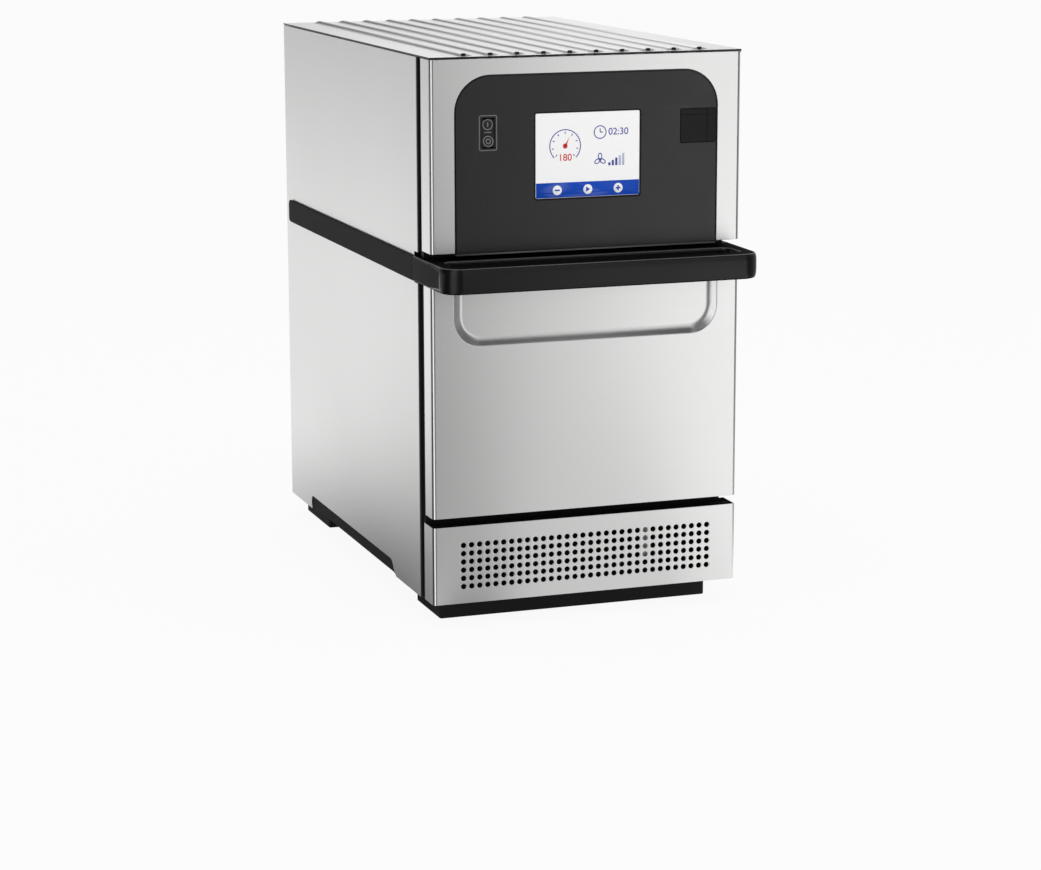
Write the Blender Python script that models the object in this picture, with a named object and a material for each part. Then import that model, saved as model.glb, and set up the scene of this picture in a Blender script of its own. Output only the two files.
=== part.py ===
"""Countertop speed oven: drop-down door, convection and microwave cavity, cabinet on foot rails.

Metres, +Z up, +Y to the back, +X to the right as seen from the front. The origin lies under the
middle of the whole oven, handle included, at the height of the surface that it stands on.
"""
import math

import bmesh
import bpy
from mathutils import Matrix, Vector

# Overall sizes
BODY_WIDTH = 0.356
BODY_DEPTH = 0.595
HANDLE_REACH = 0.058

# Shared clearances and stock
SEAT_GAP = 0.0003
RUNNING_GAP = 0.003
OVERRUN = 0.004
SHEET = 0.0012
BEND_RADIUS = 0.0043

# Heights of the front, from the bottom up
SIDE_BOTTOM = 0.0254
GRILLE_BOTTOM = 0.0267
GRILLE_HEIGHT = 0.0865
DOOR_GAP = 0.0098
DOOR_SKIN_HEIGHT = 0.253
HANDLE_HEIGHT = 0.0277
FASCIA_GAP = 0.0082
FASCIA_HEIGHT = 0.2056
LID_THICKNESS = 0.0016
LID_SEAM = 0.0006

# Depths of the front
MODULE_DEPTH = 0.033
MODULE_LIP = 0.010
DOOR_SWING_ROOM = 0.005
SIDE_SETBACK = 0.046

HALF_WIDTH = BODY_WIDTH / 2
FRONT = (HANDLE_REACH - BODY_DEPTH) / 2
BACK = FRONT + BODY_DEPTH
GRILLE_TOP = GRILLE_BOTTOM + GRILLE_HEIGHT
DOOR_BOTTOM = GRILLE_TOP + DOOR_GAP
DOOR_TOP = DOOR_BOTTOM + DOOR_SKIN_HEIGHT
HANDLE_BOTTOM = DOOR_TOP + SEAT_GAP
HANDLE_TOP = HANDLE_BOTTOM + HANDLE_HEIGHT
FASCIA_BOTTOM = HANDLE_TOP + FASCIA_GAP
PANEL_TOP = FASCIA_BOTTOM + FASCIA_HEIGHT
BODY_HEIGHT = PANEL_TOP + LID_SEAM + LID_THICKNESS
MODULE_BACK = FRONT + MODULE_DEPTH
FRAME_FRONT = MODULE_BACK + DOOR_SWING_ROOM
SIDE_FRONT = FRONT + SIDE_SETBACK
FRAME_BACK = SIDE_FRONT - SEAT_GAP
SIDE_INNER = HALF_WIDTH - SHEET

# Base pan and foot rails
PAN_SIDE_WIDTH = 0.048
PAN_STEP_HEIGHT = 0.022
PAN_LIP_HEIGHT = 0.012
FOOT_SIDE_SETBACK = 0.020
FRONT_FOOT_SETBACK = 0.040
FRONT_FOOT_DEPTH = 0.086
REAR_FOOT_DEPTH = 0.104
FOOT_EDGE_RADIUS = 0.004
FOOT_TREAD_DEPTH = 0.0012
FOOT_TREAD_WIDTH = 0.012

PAN_CENTRE_HALF_WIDTH = HALF_WIDTH - PAN_SIDE_WIDTH
FOOT_HALF_WIDTH = HALF_WIDTH - FOOT_SIDE_SETBACK
PAN_BOTTOM = SIDE_BOTTOM + SEAT_GAP
PAN_FLOOR = PAN_BOTTOM + SHEET
REAR_FRONT = BACK - 2 * SHEET - SEAT_GAP
REAR_BACK = REAR_FRONT + SHEET
PAN_BACK = REAR_FRONT - SEAT_GAP
FOOT_TOP = PAN_BOTTOM - SEAT_GAP

# Side panels, their hand cut-outs and their trim strips
SIDE_FLANGE = 0.012
HANDHOLD_START = 0.135
HANDHOLD_END_SETBACK = 0.095
HANDHOLD_RISE = 0.0166
HANDHOLD_RADIUS = 0.014
HANDHOLD_ARC_END = 160.0
STRIP_PROUD = 0.003
STRIP_START = 0.0576
STRIP_END_SETBACK = 0.020
STRIP_EDGE_RADIUS = 0.0012
STRIP_END_RADIUS = 0.006

# Lid and its ribs
RIB_SIDE_MARGIN = 0.025
RIB_PITCH = 0.030
RIB_WIDTH = 0.009
RIB_HEIGHT = 0.0028
RIB_START = 0.016
RIB_END_SETBACK = 0.016
RIB_EDGE = 0.0016
LID_SKIRT_DEPTH = 0.010

RIB_COUNT = int((BODY_WIDTH - 2 * RIB_SIDE_MARGIN) / RIB_PITCH)

# Oven cavity
CAVITY_SIDE_ROOM = 0.0225
MACHINE_BAY_DEPTH = 0.238
CAVITY_WALL = 0.0015
CAVITY_RISE = 0.032
CAVITY_DROP = 0.031
CAVITY_CORNER = 0.012
CAVITY_FLANGE = 0.010
DUCT_PORT_SIDE = 0.0505
DUCT_PORT_START = 0.060
DUCT_PORT_END = 0.051

CAVITY_HALF = HALF_WIDTH - CAVITY_SIDE_ROOM
CAVITY_HEIGHT = DOOR_SKIN_HEIGHT - CAVITY_RISE - CAVITY_DROP
CAVITY_DEPTH = BODY_DEPTH - SIDE_SETBACK - MACHINE_BAY_DEPTH
DUCT_PORT_HALF_WIDTH = CAVITY_HALF - DUCT_PORT_SIDE
DUCT_PORT_DEPTH = CAVITY_DEPTH - DUCT_PORT_START - DUCT_PORT_END
CAVITY_FLOOR = DOOR_BOTTOM + CAVITY_RISE
CAVITY_TOP = CAVITY_FLOOR + CAVITY_HEIGHT
CAVITY_FRONT = FRAME_BACK + SEAT_GAP
CAVITY_BACK = CAVITY_FRONT + CAVITY_DEPTH
CAVITY_SHELL_BACK = CAVITY_BACK + CAVITY_WALL
CAVITY_SHELL_TOP = CAVITY_TOP + CAVITY_WALL
CAVITY_SHELL_BOTTOM = CAVITY_FLOOR - CAVITY_WALL

# Door hinge
HINGE_SETBACK = 0.015
HINGE_RISE = 0.012
PIN_RADIUS = 0.004
KNUCKLE_RADIUS = 0.008
BRACKET_THICKNESS = 0.006
HINGE_ARM_THICKNESS = 0.0055
HINGE_SIDE_SETBACK = 0.010
CORE_CLEARANCE = 0.011
HINGE_LEAF_WIDTH = 0.018
HINGE_LEAF_THICKNESS = 0.0024

HINGE_Y = FRONT + HINGE_SETBACK
HINGE_Z = DOOR_BOTTOM + HINGE_RISE

# Door
GRIP_SIDE = 0.025
GRIP_DROP = 0.0663
GRIP_DEPTH = 0.006
GRIP_SLOPE = 0.012
GRIP_CORNER = 0.032
CORE_BACK_SETBACK = 0.0015
PLUG_DEPTH = 0.011
PLUG_CORNER = 0.010
SEAL_WIDTH = 0.009
INNER_PLATE_MARGIN = 0.011
LATCH_WIDTH = 0.005
LATCH_HEIGHT = 0.012
LATCH_RISE = 0.012
LATCH_LENGTH = 0.027
LATCH_SLOT_ROOM = 0.005
LATCH_HOOK = 0.003
SWITCH_WIDTH = 0.010
SWITCH_DEPTH = 0.020
SWITCH_HEIGHT = 0.028

BAY_HALF = HALF_WIDTH - SIDE_FLANGE - SEAT_GAP
LATCH_SPACING = 2 * (BAY_HALF - SWITCH_WIDTH - RUNNING_GAP - LATCH_WIDTH / 2)
INNER_PLATE_FRONT = MODULE_BACK - CORE_BACK_SETBACK + SEAT_GAP
INNER_PLATE_BACK = INNER_PLATE_FRONT + SHEET
LATCH_BOTTOM = CAVITY_TOP + LATCH_RISE
GRIP_HALF_WIDTH = HALF_WIDTH - GRIP_SIDE
CORE_BACK = MODULE_BACK - CORE_BACK_SETBACK
CORE_BOTTOM = HINGE_Z + CORE_CLEARANCE

# Handle
HANDLE_HALF_WIDTH = HALF_WIDTH + STRIP_PROUD
HANDLE_BAR_DEPTH = 0.019
HANDLE_CORNER = 0.021
HANDLE_ARM_WIDTH = 0.006
HANDLE_ARM_END_GAP = 0.0006
HANDLE_END_WIDTH = 0.017
HANDLE_INNER_CORNER = 0.010
HANDLE_EDGE_RADIUS = 0.004
ARM_SWING_ROOM = 0.0045
ARM_SIDE_GAP = 0.001
ARM_NOTCH_ROOM = 0.0015

FRAME_HALF_WIDTH = HANDLE_HALF_WIDTH - HANDLE_ARM_WIDTH - ARM_SIDE_GAP

# Upper fascia and its insert
FASCIA_SIDE = 0.0275
FASCIA_TOP_STRIP = 0.0173
FASCIA_INSERT_CORNER = 0.040
INSERT_LIP = 0.003
INSERT_LEDGE = 0.006
INSERT_LEDGE_THICKNESS = 0.002
SCREEN_WIDTH = 0.119
SCREEN_HEIGHT = 0.091
SCREEN_DROP = 0.0428
SCREEN_CORNER = 0.0015
SCREEN_THICKNESS = 0.010
BOARD_MARGIN = 0.012
BOARD_THICKNESS = 0.0016
SWITCH_INSET = 0.0373
SWITCH_BEZEL_WIDTH = 0.0185
SWITCH_BEZEL_HEIGHT = 0.036
SWITCH_BEZEL_CORNER = 0.004
ROCKER_MARGIN = 0.0022
SWITCH_BODY_DEPTH = 0.022
ROCKER_DEPTH = 0.009
ROCKER_TRAVEL = 10.0
USB_INSET = 0.0225
USB_COVER_WIDTH = 0.041
USB_COVER_HEIGHT = 0.0365
USB_COVER_CORNER = 0.004
USB_HINGE_INSET = 0.0102
USB_COVER_THICKNESS = 0.003
USB_WELL_DEPTH = 0.012
USB_WELL_WALL = 0.0015
USB_PORT_WIDTH = 0.0132
USB_PORT_HEIGHT = 0.0058
USB_SHELL = 0.0009
CONTROL_DROP = 0.0613

FASCIA_INSERT_HALF = HALF_WIDTH - FASCIA_SIDE
SWITCH_CENTRE = SWITCH_INSET - FASCIA_INSERT_HALF
USB_CENTRE = FASCIA_INSERT_HALF - USB_INSET
INSERT_TOP = PANEL_TOP - FASCIA_TOP_STRIP
SCREEN_BOTTOM = INSERT_TOP - SCREEN_DROP - SCREEN_HEIGHT
CONTROL_Z = INSERT_TOP - CONTROL_DROP

# Grille panel
GRILLE_SIDE_MARGIN = 0.0295
GRILLE_ROWS = 6
GRILLE_PITCH = 0.00925
GRILLE_HOLE = 0.0060
GRILLE_HOLE_SIDES = 6
GRILLE_PATTERN_RISE = 0.0420
FILTER_THICKNESS = 0.006
FILTER_SETBACK = 0.009
FILTER_WINDOWS = 5
CATCH_OFFSET = 0.0716
CATCH_WIDTH = 0.010
CATCH_HEIGHT = 0.046

GRILLE_COLUMNS = int((BODY_WIDTH - 2 * GRILLE_SIDE_MARGIN) / GRILLE_PITCH)
GRILLE_MIDDLE = GRILLE_BOTTOM + GRILLE_PATTERN_RISE


def clear_scene():
    for item in list(bpy.data.objects):
        bpy.data.objects.remove(item, do_unlink=True)


def make_material(name, colour, roughness, metallic=0.0):
    material = bpy.data.materials.new(name)
    material.use_nodes = True
    shader = material.node_tree.nodes["Principled BSDF"]
    shader.inputs["Base Color"].default_value = (*colour, 1.0)
    shader.inputs["Roughness"].default_value = roughness
    shader.inputs["Metallic"].default_value = metallic
    return material


def add_object(name, bm, colour, roughness, metallic=0.0, origin=(0, 0, 0)):
    """Turn the mesh into a named piece whose origin is at the given place."""
    bmesh.ops.recalc_face_normals(bm, faces=bm.faces)
    bmesh.ops.translate(bm, verts=bm.verts, vec=-Vector(origin))
    mesh = bpy.data.meshes.new(name)
    bm.to_mesh(mesh)
    bm.free()
    piece = bpy.data.objects.new(name, mesh)
    piece.location = origin
    bpy.context.scene.collection.objects.link(piece)
    mesh.materials.append(make_material(name, colour, roughness, metallic))
    mesh.shade_smooth()
    mesh.set_sharp_from_angle(angle=math.radians(30))
    return piece


def add_tool(name, bm):
    """A shape that only cuts or joins another piece."""
    bmesh.ops.recalc_face_normals(bm, faces=bm.faces)
    mesh = bpy.data.meshes.new(name)
    bm.to_mesh(mesh)
    bm.free()
    tool = bpy.data.objects.new(name, mesh)
    bpy.context.scene.collection.objects.link(tool)
    tool.hide_render = True
    tool.display_type = "WIRE"
    return tool


def combine(piece, bm, operation, label):
    tool = add_tool(piece.name + "_" + label, bm)
    step = piece.modifiers.new(label, "BOOLEAN")
    step.operation = operation
    step.solver = "EXACT"
    step.object = tool


def cut(piece, bm, label="cut"):
    combine(piece, bm, "DIFFERENCE", label)


def join(piece, bm, label="joined"):
    combine(piece, bm, "UNION", label)


def soften(piece, width, segments=2, angle=40):
    step = piece.modifiers.new("edges", "BEVEL")
    step.width = width
    step.segments = segments
    step.limit_method = "ANGLE"
    step.angle_limit = math.radians(angle)
    step.harden_normals = False


def arc(centre_u, centre_v, radius, start, end, steps):
    """Points on an arc, angles in degrees."""
    points = []
    for step in range(steps + 1):
        angle = math.radians(start + (end - start) * step / steps)
        points.append((centre_u + radius * math.cos(angle), centre_v + radius * math.sin(angle)))
    return points


def circle(centre_u, centre_v, radius, sides):
    return arc(centre_u, centre_v, radius, 0, 360, sides)[:-1]


def rounded(low_u, high_u, low_v, high_v, radii, steps=4):
    """A rectangle with rounded corners; radii go anticlockwise from the low corner."""
    if isinstance(radii, (int, float)):
        radii = (radii, radii, radii, radii)
    corners = [(low_u, low_v, 1, 1), (high_u, low_v, -1, 1), (high_u, high_v, -1, -1),
               (low_u, high_v, 1, -1)]
    points = []
    for index, (u, v, side_u, side_v) in enumerate(corners):
        radius = radii[index]
        if radius == 0:
            points.append((u, v))
        else:
            start = 180 + 90 * index
            points += arc(u + side_u * radius, v + side_v * radius, radius, start, start + 90, steps)
    return points


def on_plane(plane, u, v, w):
    if plane == "XY":
        return Vector((u, v, w))
    if plane == "XZ":
        return Vector((u, w, v))
    return Vector((w, u, v))


def prism(plane, outline, low, high, holes=(), bm=None):
    """Extrude an outline, with any holes, square to its plane from low to high."""
    target = bm or bmesh.new()
    made = bmesh.new()
    edges = []
    for loop in (outline, *holes):
        verts = [made.verts.new(on_plane(plane, u, v, low)) for u, v in loop]
        edges += [made.edges.new((verts[i - 1], verts[i])) for i in range(len(verts))]
        if not holes:
            made.faces.new(verts)
    if holes:
        bmesh.ops.triangle_fill(made, use_beauty=True, use_dissolve=False, edges=edges)
    grown = bmesh.ops.extrude_face_region(made, geom=list(made.faces))
    moved = [item for item in grown["geom"] if isinstance(item, bmesh.types.BMVert)]
    bmesh.ops.translate(made, verts=moved, vec=on_plane(plane, 0, 0, high - low))
    bmesh.ops.recalc_face_normals(made, faces=made.faces)
    append(target, made)
    return target


def append(target, made):
    """Move the faces of one mesh under construction into another."""
    copy = bpy.data.meshes.new("passing")
    made.to_mesh(copy)
    made.free()
    target.from_mesh(copy)
    bpy.data.meshes.remove(copy)


def block(low, high, bm=None):
    outline = [(low[0], low[1]), (high[0], low[1]), (high[0], high[1]), (low[0], high[1])]
    return prism("XY", outline, low[2], high[2], bm=bm)


def loft(rings, bm=None):
    """Skin a row of rings with equal numbers of points and close both ends."""
    target = bm or bmesh.new()
    made = bmesh.new()
    rows = [[made.verts.new(point) for point in ring] for ring in rings]
    for lower, upper in zip(rows, rows[1:]):
        for index in range(len(lower)):
            made.faces.new((lower[index - 1], lower[index], upper[index], upper[index - 1]))
    made.faces.new(rows[0])
    made.faces.new(rows[-1])
    bmesh.ops.recalc_face_normals(made, faces=made.faces)
    append(target, made)
    return target


def turned(profile, sides, centre, axis, bm=None):
    """Turn a closed profile of (radius, distance along the axis) pairs about an axis line."""
    target = bm or bmesh.new()
    made = bmesh.new()
    rings = []
    for radius, along in profile:
        if radius == 0:
            rings.append([made.verts.new((0, 0, along))] * sides)
        else:
            rings.append([made.verts.new((u, v, along)) for u, v in circle(0, 0, radius, sides)])
    for near, far in zip(rings, rings[1:] + rings[:1]):
        for index in range(sides):
            corners = (near[index - 1], near[index], far[index], far[index - 1])
            face = list(dict.fromkeys(corners))
            if len(face) > 2:
                made.faces.new(face)
    turn = {"X": Matrix.Rotation(math.radians(90), 3, "Y"),
            "Y": Matrix.Rotation(math.radians(-90), 3, "X"),
            "Z": Matrix.Identity(3)}[axis]
    bmesh.ops.rotate(made, verts=made.verts, cent=(0, 0, 0), matrix=turn)
    bmesh.ops.translate(made, verts=made.verts, vec=centre)
    bmesh.ops.recalc_face_normals(made, faces=made.faces)
    append(target, made)
    return target


# Colour, roughness and metallic value of what several pieces are made of
STEEL = ((0.60, 0.60, 0.59), 0.32, 1.0)
DARK_PLASTIC = ((0.035, 0.036, 0.036), 0.45, 0.0)
ZINC = ((0.55, 0.56, 0.57), 0.42, 1.0)
ENAMEL = ((0.42, 0.42, 0.41), 0.30, 1.0)


def base_pan():
    """A pressed pan, stepped up along both sides to leave room for the hands."""
    edge = SIDE_INNER - SEAT_GAP
    step = PAN_BOTTOM + PAN_STEP_HEIGHT
    lip = step + PAN_LIP_HEIGHT
    inner = PAN_CENTRE_HALF_WIDTH
    outline = [(-edge, step), (-inner, step), (-inner, PAN_BOTTOM), (inner, PAN_BOTTOM),
               (inner, step), (edge, step), (edge, lip), (edge - SHEET, lip),
               (edge - SHEET, step + SHEET), (inner - SHEET, step + SHEET),
               (inner - SHEET, PAN_FLOOR), (SHEET - inner, PAN_FLOOR),
               (SHEET - inner, step + SHEET), (SHEET - edge, step + SHEET),
               (SHEET - edge, lip), (-edge, lip)]
    bm = prism("XZ", outline, FRAME_BACK + SHEET + SEAT_GAP * 2, PAN_BACK)
    add_object("base_pan", bm, *ZINC)


def foot_rail(name, start, depth):
    """A moulded rail across the oven with a ribbed tread on its underside."""
    radius = FOOT_EDGE_RADIUS
    end = start + depth
    outline = [(start + radius, 0)]
    place = start + radius + FOOT_TREAD_WIDTH
    while place + 2 * FOOT_TREAD_WIDTH < end - radius:
        outline += [(place, 0), (place, FOOT_TREAD_DEPTH),
                    (place + FOOT_TREAD_WIDTH / 2, FOOT_TREAD_DEPTH), (place + FOOT_TREAD_WIDTH / 2, 0)]
        place += FOOT_TREAD_WIDTH * 3 / 2
    outline += arc(end - radius, radius, radius, -90, 0, 4)
    outline += arc(end - radius, FOOT_TOP - radius, radius, 0, 90, 4)
    outline += arc(start + radius, FOOT_TOP - radius, radius, 90, 180, 4)
    outline += arc(start + radius, radius, radius, 180, 270, 4)[:-1]
    bm = prism("YZ", outline, -FOOT_HALF_WIDTH, FOOT_HALF_WIDTH)
    add_object(name, bm, *DARK_PLASTIC)


def side_outline(side):
    """Plan of a side panel with its folded front and back flanges."""
    outer, inner = side * HALF_WIDTH, side * SIDE_INNER
    edge = side * (HALF_WIDTH - SIDE_FLANGE)
    return [(outer, SIDE_FRONT), (outer, BACK), (edge, BACK), (edge, BACK - SHEET),
            (inner, BACK - SHEET), (inner, SIDE_FRONT + SHEET), (edge, SIDE_FRONT + SHEET),
            (edge, SIDE_FRONT)]


def side_panel(name, side):
    panel = add_object(name, prism("XY", side_outline(side), SIDE_BOTTOM, PANEL_TOP), *STEEL)
    start = FRONT + HANDHOLD_START
    end = BACK - HANDHOLD_END_SETBACK
    top = SIDE_BOTTOM + HANDHOLD_RISE
    low = SIDE_BOTTOM - OVERRUN
    grip = [(start, low), (end, low), (end, top - HANDHOLD_RADIUS / 4)]
    grip += [(end - HANDHOLD_RADIUS / 4, top)]
    grip += arc(start + HANDHOLD_RADIUS * 2, top - HANDHOLD_RADIUS, HANDHOLD_RADIUS, 90,
                HANDHOLD_ARC_END, 6)
    near, far = sorted((side * (SIDE_INNER - OVERRUN), side * (HALF_WIDTH + OVERRUN)))
    cut(panel, prism("YZ", grip, near, far), "hand_hold")
    notch_low = HANDLE_BOTTOM - ARM_NOTCH_ROOM
    notch_high = HANDLE_TOP + ARM_SWING_ROOM
    inward = side * (HALF_WIDTH - SIDE_FLANGE - OVERRUN)
    outward = side * (HALF_WIDTH + OVERRUN)
    low_x, high_x = sorted((inward, outward))
    back = FRONT + STRIP_START + ARM_NOTCH_ROOM
    notch = block((low_x, SIDE_FRONT - OVERRUN, notch_low), (high_x, back, notch_high))
    cut(panel, notch, "arm_notch")


def trim_strip(name, side):
    """The black moulding along a side, level with the handle."""
    start = FRONT + STRIP_START
    end = BACK - STRIP_END_SETBACK
    ends = (0, STRIP_END_RADIUS, STRIP_END_RADIUS, 0)
    outline = rounded(start, end, HANDLE_BOTTOM, HANDLE_TOP, ends)
    low, high = sorted((side * (HALF_WIDTH + SEAT_GAP), side * HANDLE_HALF_WIDTH))
    strip = add_object(name, prism("YZ", outline, low, high), *DARK_PLASTIC)
    soften(strip, STRIP_EDGE_RADIUS, 1)


def top_panel():
    """The lid with its raised ribs and its inner skirt."""
    top = BODY_HEIGHT
    under = top - LID_THICKNESS
    lid = add_object("top_panel", block((-HALF_WIDTH, FRONT, under), (HALF_WIDTH, BACK, top)), *STEEL)
    outer = SIDE_INNER - SEAT_GAP
    inner = outer - SHEET
    front = SIDE_FRONT + SHEET + SEAT_GAP
    back = REAR_FRONT - SEAT_GAP
    low = under - LID_SKIRT_DEPTH
    ring = [(-outer, front), (outer, front), (outer, back), (-outer, back)]
    hole = [(-inner, front + SHEET), (inner, front + SHEET), (inner, back - SHEET), (-inner, back - SHEET)]
    join(lid, prism("XY", ring, low, under + LID_THICKNESS / 2, holes=[hole]), "skirt")
    ribs = bmesh.new()
    for index in range(RIB_COUNT):
        middle = (index - (RIB_COUNT - 1) / 2) * RIB_PITCH
        rings = []
        for inset, height in ((0, under + LID_THICKNESS / 2), (0, top + RIB_HEIGHT - RIB_EDGE),
                              (RIB_EDGE, top + RIB_HEIGHT)):
            half = RIB_WIDTH / 2 - inset
            start = FRONT + RIB_START + RIB_WIDTH / 2
            end = BACK - RIB_END_SETBACK - RIB_WIDTH / 2
            plan = arc(middle, start, half, 180, 360, 4) + arc(middle, end, half, 0, 180, 4)
            rings.append([(x, y, height) for x, y in plan])
        loft(rings, bm=ribs)
    join(lid, ribs, "ribs")


# Back cover
VENT_COUNT = 9
VENT_ROWS = 2
VENT_PITCH = 0.013
VENT_ROW_PITCH = 0.044
VENT_WIDTH = 0.005
VENT_HEIGHT = 0.034
VENT_FIELD_OFFSET = 0.080
VENT_TOP_MARGIN = 0.064
OUTLET_SIDE = 0.088
OUTLET_WIDTH = 0.056
OUTLET_HEIGHT = 0.020
DUCT_HEIGHT = 0.044
GLAND_SIDE = 0.050
GLAND_RISE = 0.046
GLAND_RADIUS = 0.011
GLAND_HEAD_RADIUS = 0.015
GLAND_HEAD = 0.006
GLAND_BORE_RADIUS = 0.0045
CONVERTER_HEIGHT = 0.022

DUCT_BOTTOM = CAVITY_SHELL_TOP + SEAT_GAP
DUCT_TOP = DUCT_BOTTOM + DUCT_HEIGHT
CONVERTER_BOTTOM = DUCT_TOP + SEAT_GAP
OUTLET_BOTTOM = CONVERTER_BOTTOM + (CONVERTER_HEIGHT - OUTLET_HEIGHT) / 2
GLAND_Z = PAN_BOTTOM + GLAND_RISE
GLAND_OFFSET = HALF_WIDTH - GLAND_SIDE
OUTLET_OFFSET = HALF_WIDTH - OUTLET_SIDE


def rear_panel():
    """The back cover with its fields of vents, the hot air outlet and the hole of the cord gland."""
    edge = SIDE_INNER - SEAT_GAP
    low = PAN_BOTTOM
    high = PANEL_TOP
    holes = []
    for side in (-1, 1):
        for row in range(VENT_ROWS):
            middle = PANEL_TOP - VENT_TOP_MARGIN - (row - (VENT_ROWS - 1) / 2) * VENT_ROW_PITCH
            for column in range(VENT_COUNT):
                middle_x = side * VENT_FIELD_OFFSET + (column - (VENT_COUNT - 1) / 2) * VENT_PITCH
                half_u, half_v = VENT_WIDTH / 2, VENT_HEIGHT / 2
                holes.append([(middle_x - half_u, middle - half_v), (middle_x + half_u, middle - half_v),
                              (middle_x + half_u, middle + half_v), (middle_x - half_u, middle + half_v)])
    half = OUTLET_WIDTH / 2 + SEAT_GAP
    holes.append([(OUTLET_OFFSET - half, OUTLET_BOTTOM - SEAT_GAP),
                  (OUTLET_OFFSET + half, OUTLET_BOTTOM - SEAT_GAP),
                  (OUTLET_OFFSET + half, OUTLET_BOTTOM + OUTLET_HEIGHT + SEAT_GAP),
                  (OUTLET_OFFSET - half, OUTLET_BOTTOM + OUTLET_HEIGHT + SEAT_GAP)])
    holes.append(circle(GLAND_OFFSET, GLAND_Z, GLAND_RADIUS + SEAT_GAP * 2, 16))
    outline = [(-edge, low), (edge, low), (edge, high), (-edge, high)]
    add_object("rear_panel", prism("XZ", outline, REAR_FRONT, REAR_BACK, holes=holes), *ZINC)


def cable_gland():
    """The strain relief of the supply cord: a head outside and a thread and nut inside."""
    face = REAR_BACK + SEAT_GAP
    front = REAR_FRONT - GLAND_HEAD
    inner = REAR_FRONT - SEAT_GAP
    profile = [(GLAND_BORE_RADIUS, front), (GLAND_HEAD_RADIUS, front), (GLAND_HEAD_RADIUS, inner),
               (GLAND_RADIUS, inner), (GLAND_RADIUS, face), (GLAND_HEAD_RADIUS, face),
               (GLAND_HEAD_RADIUS, BACK), (GLAND_BORE_RADIUS, BACK)]
    add_object("cable_gland", turned(profile, 16, (GLAND_OFFSET, 0, GLAND_Z), "Y"), *DARK_PLASTIC)


# Bulkhead
FRAME_BORDER = 0.012
FRAME_TOP_GAP = 0.001
AIR_WINDOW_MARGIN = 0.008
CONTROL_WINDOW_MARGIN = 0.018
CONTROL_WINDOW_TOP_MARGIN = 0.0226


def frame_windows():
    """Low and high corners of the three openings of the front frame: air, cavity and controls."""
    air_half = GRILLE_COLUMNS * GRILLE_PITCH / 2 + AIR_WINDOW_MARGIN / 4
    air_rise = GRILLE_ROWS * GRILLE_PITCH / 2 + AIR_WINDOW_MARGIN / 4
    control_low = FASCIA_BOTTOM + CONTROL_WINDOW_MARGIN
    return ((air_half, GRILLE_MIDDLE - air_rise, GRILLE_MIDDLE + air_rise, SHEET),
            (CAVITY_HALF, CAVITY_FLOOR, CAVITY_TOP, CAVITY_CORNER),
            (CAVITY_HALF, control_low, PANEL_TOP - CONTROL_WINDOW_TOP_MARGIN, SHEET))


def front_frame():
    """The black bulkhead that the cavity, the fascia and the grille panel are fixed to."""
    edge = FRAME_HALF_WIDTH
    low = PAN_BOTTOM
    high = PANEL_TOP - FRAME_TOP_GAP
    outline = [(-edge, low), (edge, low), (edge, high), (-edge, high)]
    windows = [rounded(-half, half, bottom, top, radius)
               for half, bottom, top, radius in frame_windows()]
    bm = prism("XZ", outline, FRAME_FRONT, FRAME_BACK, holes=windows)
    frame = add_object("front_frame", bm, *DARK_PLASTIC)
    seat = MODULE_BACK + SEAT_GAP
    inner = edge - FRAME_BORDER
    for label, bottom, top in (("lower_seat", low, GRILLE_TOP - FRAME_BORDER / 2),
                               ("upper_seat", FASCIA_BOTTOM + SEAT_GAP, high)):
        posts = bmesh.new()
        for side in (-1, 1):
            near, far = sorted((side * inner, side * edge))
            block((near, seat, bottom), (far, FRAME_BACK - SEAT_GAP, top), bm=posts)
        join(frame, posts, label)
    slots = bmesh.new()
    for side in (-1, 1):
        middle = side * LATCH_SPACING / 2
        half = LATCH_WIDTH / 2 + RUNNING_GAP / 2
        block((middle - half, FRAME_FRONT - OVERRUN, LATCH_BOTTOM - RUNNING_GAP),
              (middle + half, FRAME_BACK + OVERRUN,
               LATCH_BOTTOM + LATCH_HEIGHT + LATCH_SLOT_ROOM + LATCH_HOOK), bm=slots)
    cut(frame, slots, "latch_slots")


def oven_cavity():
    """The cooking chamber: open to the front, with ports for the blower and for the air duct."""
    half = CAVITY_HALF + CAVITY_WALL
    outer = rounded(-half, half, CAVITY_SHELL_BOTTOM, CAVITY_SHELL_TOP, CAVITY_CORNER + CAVITY_WALL)
    cavity = add_object("oven_cavity", prism("XZ", outer, CAVITY_FRONT, CAVITY_SHELL_BACK), *ENAMEL)
    reach = CAVITY_FLANGE
    flange = rounded(-BAY_HALF, BAY_HALF, CAVITY_SHELL_BOTTOM - reach / 2,
                     CAVITY_SHELL_TOP + reach / 2, CAVITY_CORNER)
    join(cavity, prism("XZ", flange, CAVITY_FRONT, CAVITY_FRONT + SHEET), "flange")
    room = rounded(-CAVITY_HALF, CAVITY_HALF, CAVITY_FLOOR, CAVITY_TOP, CAVITY_CORNER)
    cut(cavity, prism("XZ", room, CAVITY_FRONT - OVERRUN, CAVITY_BACK), "room")
    port = circle(0, BLOWER_Z, BLOWER_PORT_RADIUS, 24)
    cut(cavity, prism("XZ", port, CAVITY_BACK - OVERRUN, CAVITY_SHELL_BACK + OVERRUN), "blower_port")
    start = CAVITY_FRONT + DUCT_PORT_START
    window = block((-DUCT_PORT_HALF_WIDTH, start, CAVITY_TOP - OVERRUN / 4),
                   (DUCT_PORT_HALF_WIDTH, start + DUCT_PORT_DEPTH, CAVITY_SHELL_TOP + OVERRUN))
    cut(cavity, window, "duct_port")
    ledges = bmesh.new()
    for side in (-1, 1):
        rack_ledge(side, ledges)
    join(cavity, ledges, "ledges")


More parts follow.
